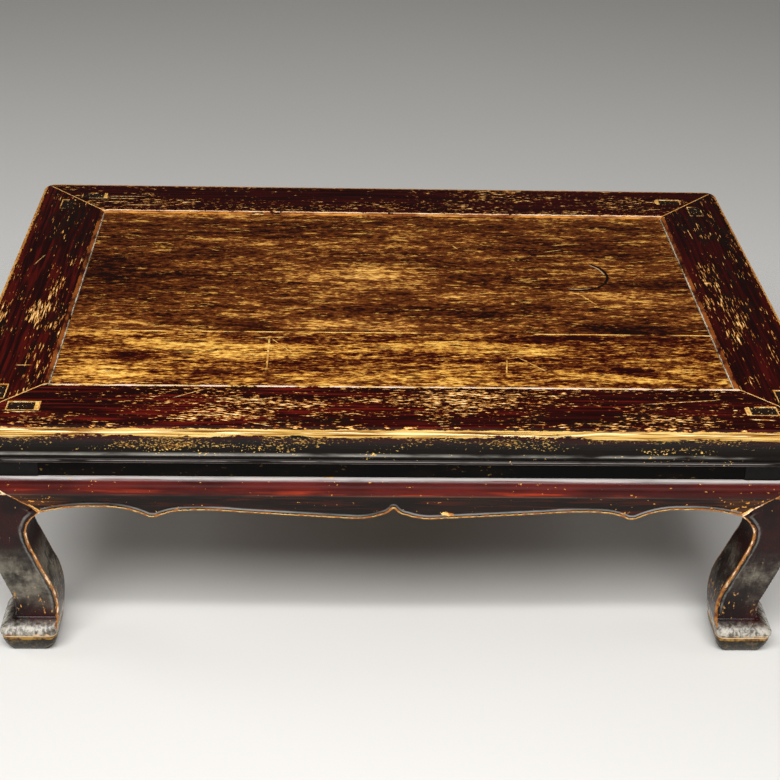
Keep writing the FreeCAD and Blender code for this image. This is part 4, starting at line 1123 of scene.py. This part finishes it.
OPENING_X = HALF_LENGTH - RAIL_WIDTH - PANEL_ROOM
OPENING_Y = HALF_WIDTH - RAIL_WIDTH - PANEL_ROOM
for board, *looks, low_y, high_y in (
    ("front_board", FRONT_STOPS, -0.350, 0.85, FRONT_BOARD_WEAR, FRONT_BOARD_SCRATCHES, "a96c28",
     -OPENING_Y, SEAM),
    ("rear_board", REAR_STOPS, -0.344, 0.60, REAR_WEAR, REAR_SCRATCHES, "c48a3c", SEAM, OPENING_Y),
):
    build_board(board, board_finish(board + "_lacquer", *looks), (-OPENING_X, low_y), (OPENING_X, high_y))

leg_lacquer = leg_finish()
for leg in LEGS:
    build_leg(leg, leg_lacquer)
for axis, aprons in enumerate((LONG_APRONS, END_APRONS)):
    for apron in aprons:
        finish = apron_finish(apron + "_lacquer", axis)
        build_carved(
            apron, finish, "apron_lacquer", APRON_KEEP, MITRE_LEVEL + 8 * MM,
            lambda way, height: way.z < -0.2,
        )

WEDGE_LOW, WEDGE_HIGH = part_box("tenon_wedges")
WEDGE_SETBACK = HALF_WIDTH - sum(TENON_DEPTH) / 2
build_row(
    "tenon_wedges_fitted", make_wedge_tree(),
    softwood_finish("wedge_softwood", "a97229", "ecc06a", (300, 300, 60)), "bare_softwood",
    [(x * WEDGE_HIGH.x, y * WEDGE_SETBACK, WEDGE_HIGH.z) for x in (-1, 1) for y in (-1, 1)],
    "tenon_wedges", height=WEDGE_HIGH.z - WEDGE_LOW.z,
)
PEG_LOW, PEG_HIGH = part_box("board_pegs")
PEG_PLACES = (-0.78, -0.30, 0.30, 0.78)
build_row(
    "board_pegs_fitted", make_peg_tree(), softwood_finish("peg_bamboo", "8a6a35", "c2a365"), "bamboo",
    [(s * (HALF_LENGTH - RAIL_WIDTH), SEAM, (PEG_LOW.z + PEG_HIGH.z) / 2) for s in PEG_PLACES],
    "board_pegs", radius=(PEG_HIGH.z - PEG_LOW.z) / 2, length=PEG_HIGH.y - PEG_LOW.y,
)
waist_lacquer = waist_finish()
batten_softwood = softwood_finish("batten_softwood", RAW_WOOD_DARK, RAW_WOOD, (90, 12, 90))
for nodes, material in ((WAISTS, waist_lacquer), (BATTENS, batten_softwood)):
    for node in nodes:
        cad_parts[node].data.materials.clear()
        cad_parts[node].data.materials.append(material)


# Studio and the photograph's viewpoint

FLOOR_SIZE = 12
# Lamps: name, place, point that it faces, width, height, watts
SOFTBOXES = (
    ("key_softbox", (-0.25, -1.85, 2.35), (0, 0, 0.2), 2.8, 1.1, 88),
    ("strip_softbox", (0, -1.35, 2.25), (0, -0.3, 0.23), 2.8, 0.16, 26),
    ("low_softbox", (0.2, -3.3, 0.95), (0, -0.3, 0.2), 2.4, 0.7, 13),
    ("side_softbox", (-2.6, 0.2, 1.6), (0, 0, 0.2), 0.9, 0.9, 10),
    ("right_softbox", (2.6, -0.4, 1.8), (0, 0, 0.2), 0.9, 0.9, 8),
)
SKY_COLOUR, SKY_STRENGTH = (1.0, 0.98, 0.96, 1), 0.08


def build_floor():
    mesh = bmesh.new()
    bmesh.ops.create_grid(mesh, x_segments=1, y_segments=1, size=FLOOR_SIZE)
    floor = as_object("studio_floor", mesh)
    f = Finish("studio_floor_paint")
    f.colour = f.mix(f.grain((0.8, 0.8, 0.8), roughness=0.5), "d4d2ce", "dad8d4")
    floor.data.materials.append(f.finish(0.8, 0.2))


def build_softbox(name, place, aim, width, height, power):
    light = bpy.data.lights.new(name, "AREA")
    light.shape = "RECTANGLE"
    light.size = width
    light.size_y = height
    light.energy = power
    lamp = bpy.data.objects.new(name, light)
    lamp.location = place
    lamp.rotation_euler = (Vector(aim) - Vector(place)).to_track_quat("-Z", "Y").to_euler()
    bpy.context.scene.collection.objects.link(lamp)


def build_sky():
    world = bpy.data.worlds.new("studio")
    world.use_nodes = True
    sky = world.node_tree.nodes["Background"].inputs
    sky["Color"].default_value = SKY_COLOUR
    sky["Strength"].default_value = SKY_STRENGTH
    bpy.context.scene.world = world


FRAME_PIXELS = 780
FOCAL_PIXELS = 1587
SENSOR_MM = 36
CAMERA_PLACE = Vector((-0.0653, -1.7155, 1.1586))
CAMERA_PITCH, CAMERA_YAW, CAMERA_ROLL = (math.radians(a) for a in (29.76, 2.35, -1.63))


def build_camera():
    level, drop = math.cos(CAMERA_PITCH), math.sin(CAMERA_PITCH)
    forward = Vector((math.sin(CAMERA_YAW) * level, math.cos(CAMERA_YAW) * level, -drop))
    level_right = Vector((math.cos(CAMERA_YAW), -math.sin(CAMERA_YAW), 0))
    level_down = forward.cross(level_right)
    right = math.cos(CAMERA_ROLL) * level_right + math.sin(CAMERA_ROLL) * level_down
    down = -math.sin(CAMERA_ROLL) * level_right + math.cos(CAMERA_ROLL) * level_down
    data = bpy.data.cameras.new("photograph_view")
    data.sensor_width = SENSOR_MM
    data.lens = SENSOR_MM * FOCAL_PIXELS / FRAME_PIXELS
    camera = bpy.data.objects.new("photograph_view", data)
    turn = Matrix((right, -down, -forward)).transposed().to_4x4()
    camera.matrix_world = Matrix.Translation(CAMERA_PLACE) @ turn
    bpy.context.scene.collection.objects.link(camera)
    bpy.context.scene.camera = camera


build_floor()
for softbox in SOFTBOXES:
    build_softbox(*softbox)
build_sky()
build_camera()
bpy.context.scene.view_settings.view_transform = "Standard"
